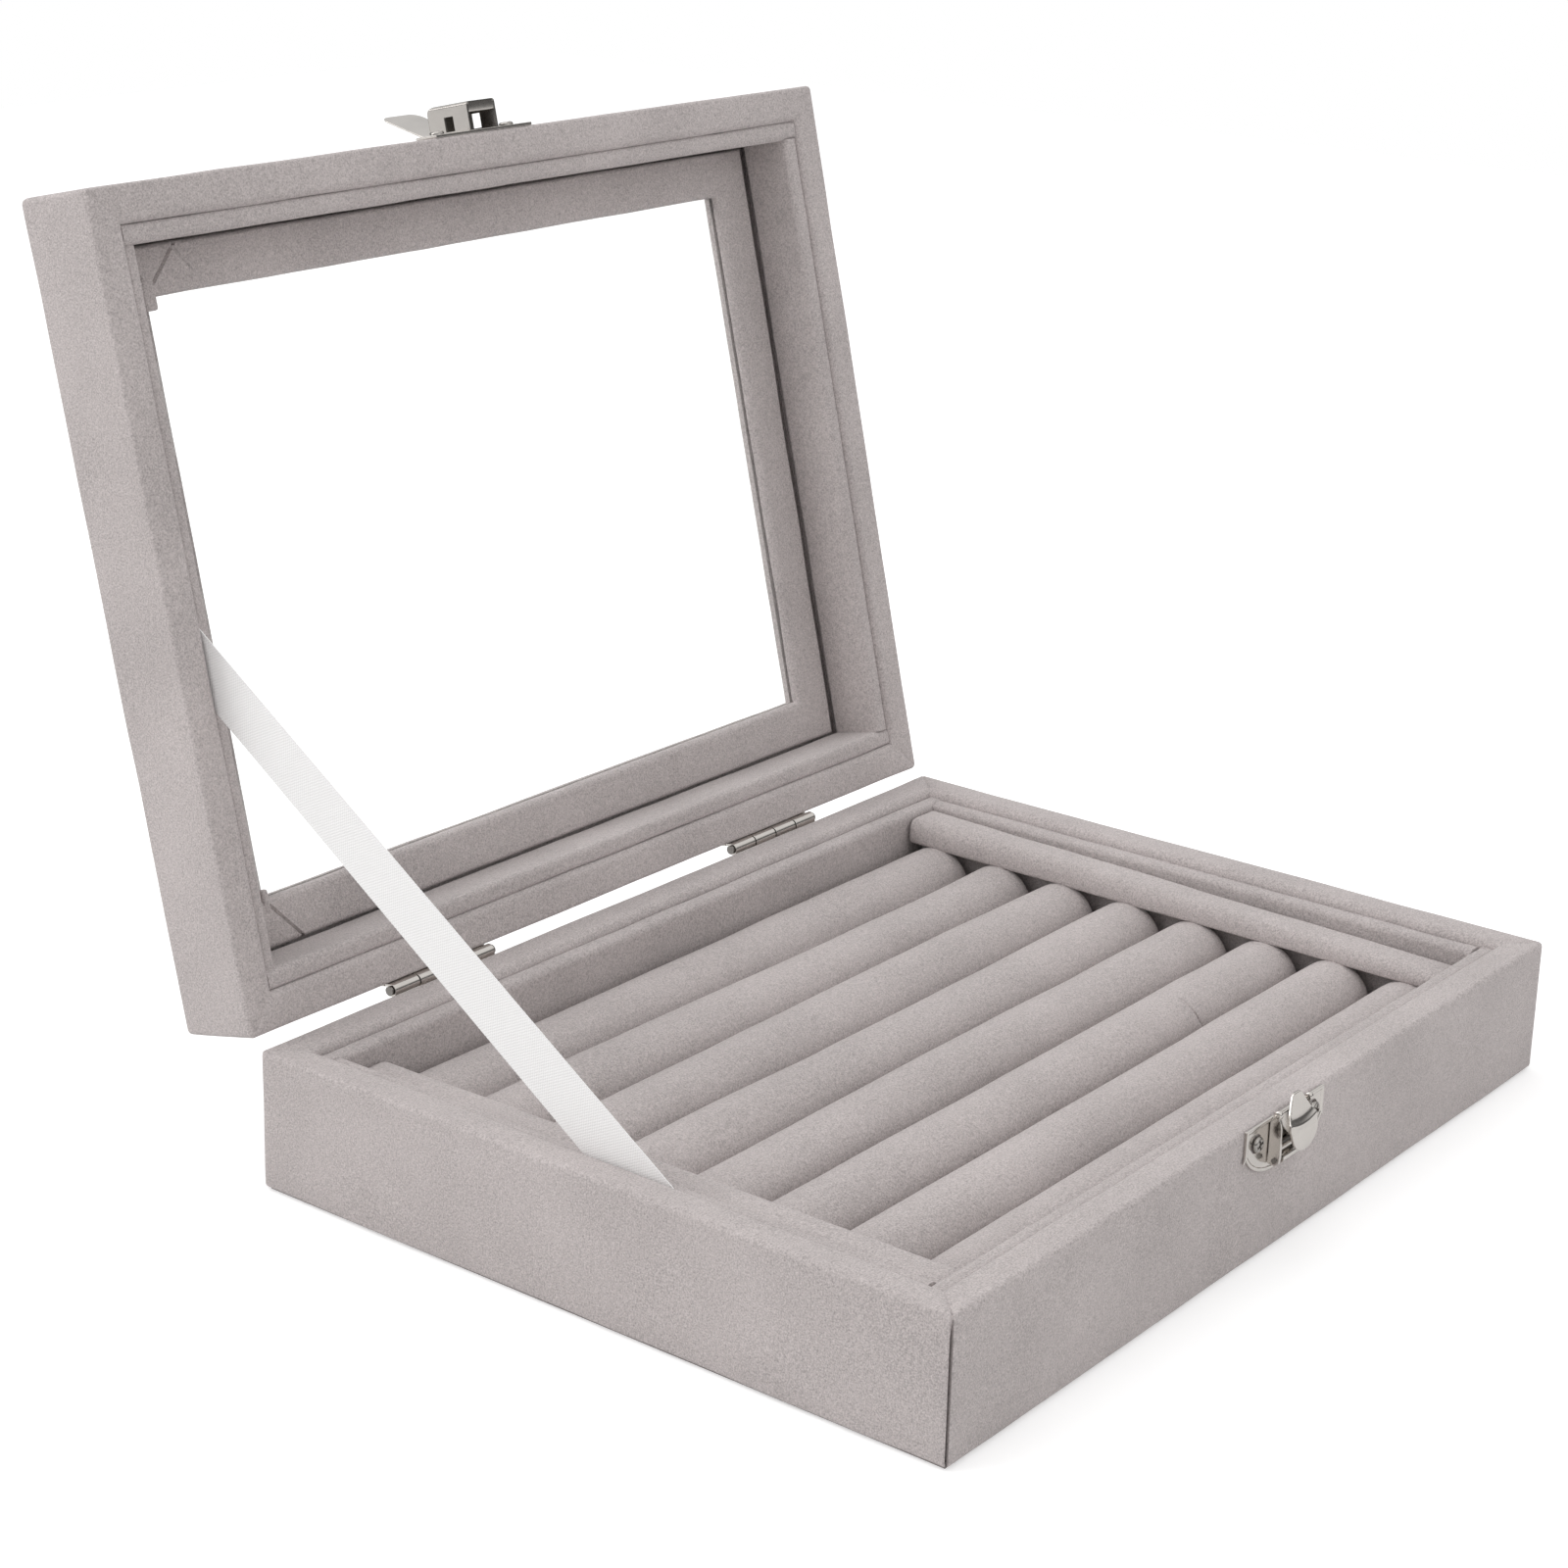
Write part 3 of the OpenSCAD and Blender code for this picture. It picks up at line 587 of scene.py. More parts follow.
class RINGBOX_OT_base_walls(bpy.types.Operator):
    """Velvet wrapped round the four walls of the base"""
    bl_idname = "ringbox.base_walls"
    bl_label = "Base walls"

    def execute(self, context):
        sizes = context.scene.ring_box_sizes
        low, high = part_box("base_front_wall")[0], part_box("base_back_wall")[1]
        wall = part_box("base_front_wall")[1].y - low.y
        out_x, out_y = high.x, high.y
        piece = block("base_wrap", low, high)
        with editing(piece):
            pick(piece, "FACE", lambda middle, facing: abs(facing.z) > 0.9)
            bpy.ops.mesh.inset(thickness=wall, depth=0, use_individual=True)
            bpy.ops.mesh.bridge_edge_loops()
            weigh(piece, 0.5, is_edge_at(high.z, out_x, out_y))
            weigh(piece, 1.0, is_edge_at(high.z, out_x - wall, out_y - wall))
            weigh(piece, 0.4, is_edge_at(low.z, out_x, out_y))
            weigh(piece, sizes.corner_round/sizes.rim_round, is_upright(out_x, out_y))
        round_weighted(piece, sizes.rim_round)
        cut_long(piece, 3*MM)
        corner_creases(piece, out_x, out_y, high.z - 1.2*MM, high.z + MM, width=0.5*MM, depth=0.22*MM)
        # The cloth meets in an open seam down the front left corner
        corner = Vector((-out_x, -out_y, 0))
        crease(piece, corner, (-1, 1, 0), lambda p: is_beside(p, corner, 4*MM) and p.z < high.z - 1.9*MM,
               width=0.8*MM, depth=1.3*MM)
        soften(piece, sizes.unevenness, 22*MM)
        smooth(piece, 50)
        finished(piece, "base", finish("velvet"),
                 [f"base_{side}_wall" for side in SIDES])
        return {"FINISHED"}


def lining_strip(name, box, top_up, sizes):
    """One padded strip of lining, rounded along its free edge."""
    low, high = box
    along = 0 if high.x - low.x > high.y - low.y else 1
    across = 1 - along
    free = high.z if top_up else low.z
    inner, outer = sorted((low[across], high[across]), key=abs)
    piece = block(name, low, high)

    def is_free_edge(side):
        return lambda middle, run: (abs(middle.z - free) < SAME and abs(run[along]) > 0.9*run.length
                                    and abs(middle[across] - side) < SAME)

    with editing(piece):
        weigh(piece, 1.0, is_free_edge(inner))
        weigh(piece, 0.6, is_free_edge(outer))
    round_weighted(piece, sizes.lining_round)
    cut_long(piece, 2.5*MM)
    soften(piece, sizes.unevenness, 14*MM)
    smooth(piece, 50)
    return piece


class RINGBOX_OT_base_lining(bpy.types.Operator):
    """Padded lining inside the base"""
    bl_idname = "ringbox.base_lining"
    bl_label = "Base lining"

    def execute(self, context):
        for side in SIDES:
            node = f"base_{side}_liner"
            piece = lining_strip(f"base_lining_{side}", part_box(node), True, context.scene.ring_box_sizes)
            finished(piece, "base", finish("lining"), [node])
        return {"FINISHED"}


class RINGBOX_OT_ring_rolls(bpy.types.Operator):
    """Eight padded rolls that hold rings between them"""
    bl_idname = "ringbox.ring_rolls"
    bl_label = "Ring rolls"

    def execute(self, context):
        sizes = context.scene.ring_box_sizes
        low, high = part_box("ring_roll_1")
        radius = (high.y - low.y)/2
        middle_y = (high.y + low.y)/2
        axis_z = high.z - radius
        # The skin starts a little inside the roll's size and is filled out to it
        slack = 0.12*MM
        first = rod("padded_roll_1", (low.x, middle_y, axis_z), (high.x, middle_y, axis_z),
                    radius - slack, 36)
        with editing(first):
            pick(first, "EDGE", lambda middle, run: abs(middle.x) > high.x - 0.3*MM and abs(run.x) < SAME)
            bpy.ops.mesh.bevel(offset=sizes.roll_end_round, segments=4, affect="EDGES")
            pick(first, "FACE", lambda middle, facing: abs(facing.x) > 0.999)
            bpy.ops.mesh.inset(thickness=2.4*MM, depth=0)
            bpy.ops.mesh.poke()
        cut_long(first, 3*MM, axes=(0,))
        # The underside lies flat on the card
        with editing(first):
            pick(first, "VERT", lambda place: place.z < low.z)
            bpy.ops.transform.resize(value=(1, 1, 0), center_override=(0, middle_y, low.z))
        for k in range(8, 0, -1):
            node = f"ring_roll_{k}"
            roll_low, roll_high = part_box(node)
            shift = (roll_low.y + roll_high.y)/2 - middle_y
            piece = copy_of(first, f"padded_roll_{k}", (0, shift, 0)) if k > 1 else first
            swell(piece, sizes.filling, 3*slack, lambda p: p.z < axis_z - 3*MM)
            if k == 6:
                # This roll's cover has a short crease
                near = Vector((44.2*MM, roll_low.y + 4.2*MM, 0))
                crease(piece, near, (1, 0.18, 0),
                       lambda p: abs(p.x - near.x) < 4*MM and p.y < near.y + 1.5*MM and p.z > axis_z - MM,
                       width=0.9*MM, depth=0.55*MM)
            soften(piece, sizes.unevenness*1.2, 26*MM)
            smooth(piece, 60)
            finished(piece, "base", finish("velvet"), [node])
        return {"FINISHED"}


class RINGBOX_OT_end_bars(bpy.types.Operator):
    """Padded bars over the ends of the rolls"""
    bl_idname = "ringbox.end_bars"
    bl_label = "End bars"

    def execute(self, context):
        sizes = context.scene.ring_box_sizes
        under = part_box("ring_roll_1")[1].z - 0.5*MM
        # The left bar is pressed a little flat, and the right one is fuller at the back
        for side, fullness, tilt in (("left", -0.8*MM, -0.5*MM), ("right", 0.25*MM, 1.35*MM)):
            node = f"{side}_end_bar"
            low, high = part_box(node)
            sign = 1 if side == "right" else -1
            inner, outer = (low.x, high.x) if sign > 0 else (high.x, low.x)
            top = block(f"padded_bar_{side}", (low.x, low.y, under), high)
            with editing(top):
                weigh(top, 0.75, lambda middle, run: middle.z > high.z - SAME)
                weigh(top, 1.0, lambda middle, run: middle.z > high.z - SAME and abs(middle.x - inner) < SAME)
                weigh(top, 0.75, lambda middle, run: abs(run.z) > 0.9*run.length)
                weigh(top, 0.45, lambda middle, run: middle.z < under + SAME)
            round_weighted(top, 2.1*MM, 4)
            cut_long(top, 2.4*MM)
            moved(top, lambda p: (0, 0, (p.z - under)/(high.z - under)*(fullness + tilt*p.y/high.y)))
            swell(top, sizes.filling, 0.4*MM, lambda p: p.z < under + 0.4*MM)
            if side == "right":
                near = Vector((outer, 18.8*MM, 0))
                crease(top, near, (0.25, 1, 0), lambda p: (
                    abs(p.y - near.y) < 3*MM and abs(p.x - near.x) < 2.4*MM and p.z > high.z - 2.5*MM),
                    width=1.2*MM, depth=0.8*MM)
            # The foot stands between the ends of the rolls and the lining
            foot_in = inner + sign*5.2*MM
            foot = block(f"padded_bar_{side}_foot", (min(foot_in, outer), low.y + 0.5*MM, low.z),
                         (max(foot_in, outer), high.y - 0.5*MM, under + 1.2*MM))
            cut_long(foot, 3*MM)
            piece = joined([top, foot], f"padded_bar_{side}")
            soften(piece, sizes.unevenness*1.3, 18*MM)
            smooth(piece, 60)
            finished(piece, "base", finish("velvet"), [node])
        return {"FINISHED"}


class RINGBOX_OT_lid_walls(bpy.types.Operator):
    """Velvet wrapped round the lid's walls and over the frame of its window"""
    bl_idname = "ringbox.lid_walls"
    bl_label = "Lid walls"

    def execute(self, context):
        sizes = context.scene.ring_box_sizes
        low, high = shut_box("lid_front_wall")[0], shut_box("lid_back_wall")[1]
        wall = shut_box("lid_front_wall")[1].y - low.y
        window_y = -shut_box("outer_frame_front")[1].y
        window_x = shut_box("outer_frame_right")[0].x
        frame_low = shut_box("outer_frame_front")[0].z
        out_x, out_y = high.x, high.y
        piece = block("lid_wrap", low, high)
        with editing(piece):
            pick(piece, "FACE", lambda middle, facing: facing.z < -0.9)
            bpy.ops.mesh.inset(thickness=wall, depth=0)
            bpy.ops.mesh.extrude_region_move(TRANSFORM_OT_translate={"value": (0, 0, frame_low - low.z)})
            bpy.ops.mesh.inset(thickness=out_y - wall - window_y, depth=0)
            pick(piece, "FACE", lambda middle, facing: facing.z > 0.9)
            bpy.ops.mesh.inset(thickness=out_y - window_y, depth=0)
            # An inset is as wide at the sides as at the front, so the sides are moved on to the window
            reached = out_x - (out_y - window_y)
            for sign in (-1, 1):
                pick(piece, "VERT", lambda p: abs(p.x - sign*reached) < NEAR and abs(p.y) < window_y + NEAR)
                bpy.ops.transform.translate(value=(sign*(window_x - reached), 0, 0))
            pick(piece, "FACE", lambda middle, facing: abs(facing.z) > 0.9 and middle.xy.length < NEAR)
            bpy.ops.mesh.bridge_edge_loops()
            weigh(piece, 0.4, is_edge_at(low.z, out_x, out_y))
            weigh(piece, 0.8, is_edge_at(low.z, out_x - wall, out_y - wall))
            weigh(piece, 0.6, is_edge_at(high.z, out_x, out_y))
            weigh(piece, 0.5, is_edge_at(high.z, window_x, window_y))
            weigh(piece, sizes.corner_round/sizes.rim_round, is_upright(out_x, out_y))
        round_weighted(piece, sizes.rim_round)
        cut_long(piece, 3*MM)
        corner_creases(piece, out_x, out_y, low.z - MM, low.z + 1.2*MM, width=0.4*MM, depth=0.1*MM)
        soften(piece, sizes.unevenness, 22*MM)
        opened(piece)
        smooth(piece, 50)
        finished(piece, "lid", finish("velvet"),
                 [f"lid_{side}_wall" for side in SIDES] + [f"outer_frame_{side}" for side in SIDES])
        return {"FINISHED"}


class RINGBOX_OT_lid_lining(bpy.types.Operator):
    """Padded lining inside the lid"""
    bl_idname = "ringbox.lid_lining"
    bl_label = "Lid lining"

    def execute(self, context):
        for side in SIDES:
            node = f"lid_{side}_liner"
            piece = lining_strip(f"lid_lining_{side}", shut_box(node), False, context.scene.ring_box_sizes)
            opened(piece)
            finished(piece, "lid", finish("lining"), [node])
        return {"FINISHED"}


class RINGBOX_OT_window_frame(bpy.types.Operator):
    """Padded frame inside the window"""
    bl_idname = "ringbox.window_frame"
    bl_label = "Window frame"

    def execute(self, context):
        low, high = shut_box("inner_frame_front")[0], shut_box("inner_frame_back")[1]
        window_y = -shut_box("inner_frame_front")[1].y
        left_x, right_x = shut_box("inner_frame_left")[1].x, shut_box("inner_frame_right")[0].x
        out_x, out_y = high.x, high.y
        piece = block("window_frame", low, high)
        with editing(piece):
            pick(piece, "FACE", lambda middle, facing: abs(facing.z) > 0.9)
            bpy.ops.mesh.inset(thickness=out_y - window_y, depth=0, use_individual=True)
            reached = out_x - (out_y - window_y)
            for x, aim in ((-reached, left_x), (reached, right_x)):
                pick(piece, "VERT", lambda p: abs(p.x - x) < NEAR and abs(p.y) < window_y + NEAR)
                bpy.ops.transform.translate(value=(aim - x, 0, 0))
            pick(piece, "FACE", lambda middle, facing: abs(facing.z) > 0.9 and abs(middle.y) < NEAR
                 and abs(middle.x) < 5*MM)
            bpy.ops.mesh.bridge_edge_loops()
            weigh(piece, 1.0, lambda middle, run: (
                abs(middle.z - low.z) < NEAR and abs(middle.x) < out_x - 0.1*MM
                and abs(middle.y) < out_y - 0.1*MM and min(abs(run.x), abs(run.y)) < SAME))
            weigh(piece, 0.6, is_edge_at(low.z, out_x, out_y))
        round_weighted(piece, 1.4*MM)
        cut_long(piece, 2.5*MM)
        # Seams of the cloth beside the window's left corners
        for point, run in (((-76, -60), (-1, 1)), ((-76, 60.3), (6.7, 7.6))):
            place = Vector((*point, 0))*MM
            crease(piece, place, (run[1], -run[0], 0), lambda p: (
                abs(p.x - place.x) < 4.2*MM and abs(p.y - place.y) < 4.8*MM and p.z < low.z + 0.9*MM),
                width=0.8*MM, depth=0.6*MM)
        # Small tabs of cloth stand out beside these seams
        tabs = []
        for k, (x0, y0, x1, y1) in enumerate(((-81.25, -58.6, -78.5, -52.7), (-80.8, 53.2, -79.3, 57.5))):
            tab = block(f"window_tab_{k}", (x0*MM, y0*MM, low.z - 0.15*MM), (x1*MM, y1*MM, low.z + 1.2*MM))
            round_all(tab, 0.45*MM, 3)
            cut_long(tab, 1.5*MM)
            tabs.append(tab)
        piece = joined([piece, *tabs], "window_frame")
        soften(piece, 0.35*MM, 20*MM)
        opened(piece)
        smooth(piece, 50)
        finished(piece, "lid", finish("lining"),
                 [f"inner_frame_{side}" for side in SIDES])
        return {"FINISHED"}


class RINGBOX_OT_ribbon(bpy.types.Operator):
    """Satin ribbon that stays the lid"""
    bl_idname = "ringbox.ribbon"
    bl_label = "Ribbon stay"

    def execute(self, context):
        # Both ends are tucked between the wall and the lining
        places = [v.co for v in NODES["ribbon_stay"].data.vertices]
        low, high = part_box("ribbon_stay")
        # The solid's four corners, seen from the side
        bottom, front = min(places, key=lambda p: p.z), min(places, key=lambda p: p.y)
        top, back = max(places, key=lambda p: p.z), max(places, key=lambda p: p.y)
        start, end = (bottom + front)/2, (top + back)/2
        start.x = end.x = (low.x + high.x)/2
        width = (bottom - front).length
        run = end - start
        slope = math.atan2(run.z, run.y)
        bpy.ops.object.select_all(action="DESELECT")
        bpy.ops.mesh.primitive_grid_add(x_subdivisions=540, y_subdivisions=12, size=1,
                                        location=(start + end)/2)
        piece = bpy.context.object
        piece.scale = (run.length, width, 1)
        turn = Matrix.Rotation(slope, 3, "X") @ Matrix.Rotation(math.pi/2, 3, "Z")
        piece.rotation_euler = turn.to_euler()
        settle(piece, "satin_ribbon")
        # The grid now lies flat across the run, so it is stood on its edge along the box's side
        along = run.normalized()
        across = Vector((0, -along.z, along.y))
        side = Vector((1, 0, 0))
        middle = (start + end)/2

        def stand(p):
            """Stands a point up, widens the ribbon towards the base and gives its edges small loops."""
            u = (p - middle).dot(along)
            w = -(p - middle).dot(side)
            wide = 1.035 - 0.075*(u/run.length + 0.5)
            loop = 0.09*MM*math.sin(2*math.pi*u/(0.75*MM)) if abs(w) > 0.49*width else 0.0
            place = middle + along*u + across*(w*wide + math.copysign(loop, w))
            return place - p

        moved(piece, stand)
        apply_modifier(piece, "SOLIDIFY", thickness=0.18*MM, offset=0)
        with editing(piece):
            bpy.ops.mesh.select_all(action="SELECT")
            bpy.ops.mesh.normals_make_consistent(inside=False)
        smooth(piece, 60)
        piece.data.materials.append(finish("satin"))
        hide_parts("ribbon_stay")
        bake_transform(piece)
        return {"FINISHED"}


# Sheet of the catch's two plates, the straight sides of their shield and the bow of its far end
PLATE_SHEET = 0.6*MM
SHIELD_SIDE = 5.1*MM
SHIELD_BOW = 5*MM
# A screw group's box ends this far past the middle of its last screw
SCREW_HEAD = 1.6*MM
HOLE_RADIUS = 1.75*MM


def section(x, y, z, points):
    """Points of a section across X, given in millimetres from a place."""
    return [(x, y + a*MM, z + b*MM) for a, b in points]


def shield(name, middle_x, face_y, edge_z, up, screws):
    """A stamped plate with a raised border and two holes, on the front face, with its far end up or down."""
    low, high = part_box("catch_plate")
    half = (high.x - low.x)/2
    outline = [(-half, 0), (-half, SHIELD_SIDE)]
    for k in range(1, 24):
        u = -1 + 2*k/24
        outline.append((half*u, SHIELD_SIDE + SHIELD_BOW*(1 - abs(u)**3)**0.83))
    outline += [(half, SHIELD_SIDE), (half, 0)]
    back_y = face_y + PLATE_SHEET
    plate = traced(name, [(middle_x + a, back_y, edge_z + up*b) for a, b in outline], (0, -PLATE_SHEET, 0))
    with editing(plate):
        pick(plate, "FACE", lambda middle, facing: facing.y < -0.9)
        bpy.ops.mesh.inset(thickness=0.55*MM, depth=0)
        bpy.ops.mesh.inset(thickness=0.2*MM, depth=-0.2*MM)
    round_all(plate, 0.1*MM, 2, 25)
    low, high = screws
    z = (low.z + high.z)/2
    for x in (low.x + SCREW_HEAD, high.x - SCREW_HEAD):
        cut_away(plate, rod("hole", (x, face_y - MM, z), (x, back_y + MM, z), HOLE_RADIUS))
    return plate


class RINGBOX_OT_catch(bpy.types.Operator):
    """Catch on the front of the base: plate, ears and press lever"""
    bl_idname = "ringbox.catch"
    bl_label = "Catch"

    def execute(self, context):
        low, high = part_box("catch_plate")
        x, top = (low.x + high.x)/2, high.z
        face = high.y - PLATE_SHEET
        pin_low, pin_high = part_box("catch_pin")
        pin_y, pin_z = (pin_low.y + pin_high.y)/2, (pin_low.z + pin_high.z)/2
        ear_sheet = 0.6*MM
        parts = [shield("catch_shield", x, face, top, -1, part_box("catch_screws"))]
        for sign in (-1, 1):
            spur = traced("spur", [(x + sign*a*MM, face + 0.05*MM, top + b*MM) for a, b in (
                (12.9, -4.6), (13.25, -4.6), (13.75, -5.9), (13.3, -5.9), (12.8, -5.3))], (0, 0.4*MM, 0))
            round_all(spur, 0.1*MM, 2)
            ear_x = x + sign*5.2*MM
            ear = traced("ear", section(ear_x - ear_sheet/2, face, top, (
                (0.1, -8.5), (-1.3, -8.7), (-2.1, -8.1), (-2.3, -7.0), (-2.3, -1.6), (-2.0, -0.2),
                (-1.2, 0.9), (-0.5, 1.1), (-0.3, 0.0), (0.1, -0.2))), (ear_sheet, 0, 0))
            round_all(ear, 0.16*MM, 3)
            # The ear's upper end is rolled to a small knob
            knob_place, knob_half = Vector((ear_x, face - 1.3*MM, top + 0.9*MM)), Vector((0.55*MM, 0, 0))
            knob = rod("knob", knob_place - knob_half, knob_place + knob_half, 0.8*MM, 24)
            round_all(knob, 0.35*MM, 4)
            parts += [spur, ear, knob]
        plate = joined(parts, "catch_shield")
        polished(plate)
        finished(plate, "base", finish("nickel"), ["catch_plate"])

        # Lever: one bent sheet, a fanned tongue that runs into a rounded ridge over a dished pad. Its outline
        # is in millimetres from the middle and from the plate's top edge.
        pad_z, pad_r = top - 2.5*MM, 4.4*MM
        tongue = [(0.9, 3.6), (1.45, 3.35), (2.0, 2.6), (2.9, 1.2), (3.8, 0.0), (4.5, -0.8), (4.5, -1.7)]
        right = [(x + a*MM, top + b*MM) for a, b in tongue]
        lower = [(x + pad_r*math.cos(t), pad_z - 0.9*pad_r*math.sin(t)) for t in
                 (math.pi*k/24 for k in range(25))]
        left = [(x - a*MM, top + b*MM) for a, b in reversed(tongue)]
        lever = traced("catch_lever_sheet", [(px, face, pz) for px, pz in right + lower + left],
                       (0, 0.45*MM, 0))
        with editing(lever):
            cuts = [((0, 0, top + (-6.4 + 0.24*k)*MM), (0, 0, 1)) for k in range(42)]
            cuts += [((x + 0.4*k*MM, 0, 0), (1, 0, 0)) for k in range(-11, 12)]
            for place, normal in cuts:
                bpy.ops.mesh.select_all(action="SELECT")
                bpy.ops.mesh.bisect(plane_co=place, plane_no=normal)
        # Its run: height over the plate's top edge and place before the plate's face, in millimetres
        run = [(-6.6, -4.1), (-5.4, -4.1), (-3.8, -4.02), (-2.8, -3.85), (-2.2, -3.65), (-1.75, -3.55),
               (-1.45, -3.58), (-1.15, -3.6), (-0.85, -3.48), (-0.55, -3.22), (-0.2, -2.93), (0.2, -2.72),
               (1.2, -2.4), (2.4, -2.05), (3.6, -1.75)]

        def bend(p):
            """Takes a point of the flat sheet to the run, and lets the ridge sag in the middle."""
            z = (p.z - top)/MM
            y = run[-1][1]
            for (z0, y0), (z1, y1) in zip(run, run[1:]):
                if z <= z1:
                    y = y0 + (y1 - y0)*min(1.0, max(0.0, (z - z0)/(z1 - z0)))
                    break
            sag = max(0.0, 1 - ((p.x - x)/(4.6*MM))**2)*max(0.0, 1 - ((z + 1.1)/2.2)**2)**1.5
            dish = max(0.0, 1 - ((p.x - x)/(3.4*MM))**2 - ((z + 3.1)/2.0)**2)**1.5
            return (0, (y - 0.2*sag + 0.12*dish)*MM, -0.75*sag*MM)

        moved(lever, bend)
        round_all(lever, 0.12*MM, 2, 35)
        barrel = rod("barrel", (x - 4*MM, pin_y, pin_z), (x + 4*MM, pin_y, pin_z), 0.9*MM, 28)
        cut_away(barrel, rod("bore", (x - 6*MM, pin_y, pin_z), (x + 6*MM, pin_y, pin_z), 0.55*MM, 28))
        web = traced("web", section(x - 2.6*MM, face, top, (
            (-3.3, -5.2), (-3.2, -4.7), (-1.3, -6.7), (-1.3, -7.3))), (5.2*MM, 0, 0))
        lever = joined([lever, barrel, web], "catch_lever_sheet")
        polished(lever)
        finished(lever, "catch_lever", finish("nickel"), ["catch_lever"])

        # Leaf spring behind the pad, bent so far in that the pressed pad stays clear of it
        spring = traced("spring_leaf", section(x - 1.8*MM, face, pin_z, (
            (0.0, 1.15), (-0.25, 1.15), (-0.3, 1.95), (-2.45, 4.1), (-2.35, 4.35), (-0.05, 2.3),
            (0.0, 2.25))), (3.6*MM, 0, 0))
        round_all(spring, 0.05*MM, 1, 50)
        polished(spring)
        finished(spring, "base", finish("steel"), ["catch_spring"])
        return {"FINISHED"}


class RINGBOX_OT_keeper(bpy.types.Operator):
    """Keeper on the lid's front: plate, finger tab and drawn channel"""
    bl_idname = "ringbox.keeper"
    bl_label = "Keeper"

    def execute(self, context):
        low, high = shut_box("keeper_hook")
        x = (low.x + high.x)/2
        channel = block("keeper_channel", low, high)
        with editing(channel):
            pick(channel, "FACE", lambda middle, facing: facing.y > 0.9 or facing.z < -0.9)
            bpy.ops.mesh.delete(type="FACE")
            weigh(channel, 1.0, lambda middle, run: middle.z > high.z - SAME and middle.y < low.y + SAME)
            weigh(channel, 0.35, lambda middle, run: abs(middle.x - x) > 3*MM and middle.y < low.y + SAME)
            weigh(channel, 0.35, lambda middle, run: abs(middle.x - x) > 3*MM and middle.z > high.z - SAME)
        round_weighted(channel, 1.8*MM, 5)
        apply_modifier(channel, "SOLIDIFY", thickness=0.45*MM, offset=-1)
        cut_away(channel, block("window", (low.x - MM, high.y - 3.1*MM, low.z + 4*MM),
                                (high.x + MM, high.y - 0.3*MM, low.z + 6.4*MM)))
        # The lip inside the mouth, which the lever's tongue catches
        lip = traced("lip", section(low.x + 0.3*MM, low.y, low.z, (
            (0.1, 0.0), (1.7, 0.0), (2.0, 0.25), (1.9, 0.5), (0.4, 0.5), (0.1, 0.8))),
            (high.x - low.x - 0.6*MM, 0, 0))
        channel = joined([channel, lip], "keeper_channel")
        round_all(channel, 0.07*MM, 1, 50)
        opened(channel)
        polished(channel)
        # The channel takes the darker copy of the nickel, which paints shade on it
        finished(channel, "lid", finish("shaded"), ["keeper_hook"])

        plate_low, plate_high = shut_box("keeper_plate")
        face = plate_high.y - PLATE_SHEET
        plate = shield("keeper_sheet", x, face, plate_low.z, 1, shut_box("keeper_screws"))
        # Thin finger tab that leaves the plate in a short curve and then flares straight
        tab_sheet, tab_half, curve_run, root = 0.25*MM, 5*MM, 0.75*MM, 3*MM
        lean = math.radians(24)
        bend_z = high.z + 0.2*MM
        reach = (plate_high.z - bend_z)/math.cos(lean) - 0.1*MM
        front, behind = [], []
        for k in range(9):
            turn = min(1.0, k/3)*lean
            step = curve_run*k/3 if k < 4 else curve_run + (reach - curve_run)*(k - 3)/5
            y = face - step*math.sin(turn)*(1 + 0.005*k)
            z = bend_z + step*math.cos(turn)
            front.append((y, z))
            behind.insert(0, (y + tab_sheet*math.cos(turn), z + tab_sheet*math.sin(turn)))
        outline = [(face, bend_z - root), *front, *behind, (face + tab_sheet, bend_z - root)]
        tab = traced("tab", [(x - tab_half, y, z) for y, z in outline], (2*tab_half, 0, 0))
        tip = max(z for y, z in front)

        def is_tip_corner(middle, run):
            return (middle.z > tip - 0.4*MM and abs(middle.x - x) > tab_half - 0.1*MM and abs(run.x) < SAME
                    and run.length < 1.3*tab_sheet and abs(run.y) > 0.5*run.length)

        with editing(tab):
            weigh(tab, 1.0, is_tip_corner)
        round_weighted(tab, 2.2*MM, 5)
        round_all(tab, 0.06*MM, 1, 50)
        plate = joined([plate, tab], "keeper_sheet")
        opened(plate)
        polished(plate)
        finished(plate, "lid", finish("nickel"), ["keeper_plate"])
        return {"FINISHED"}


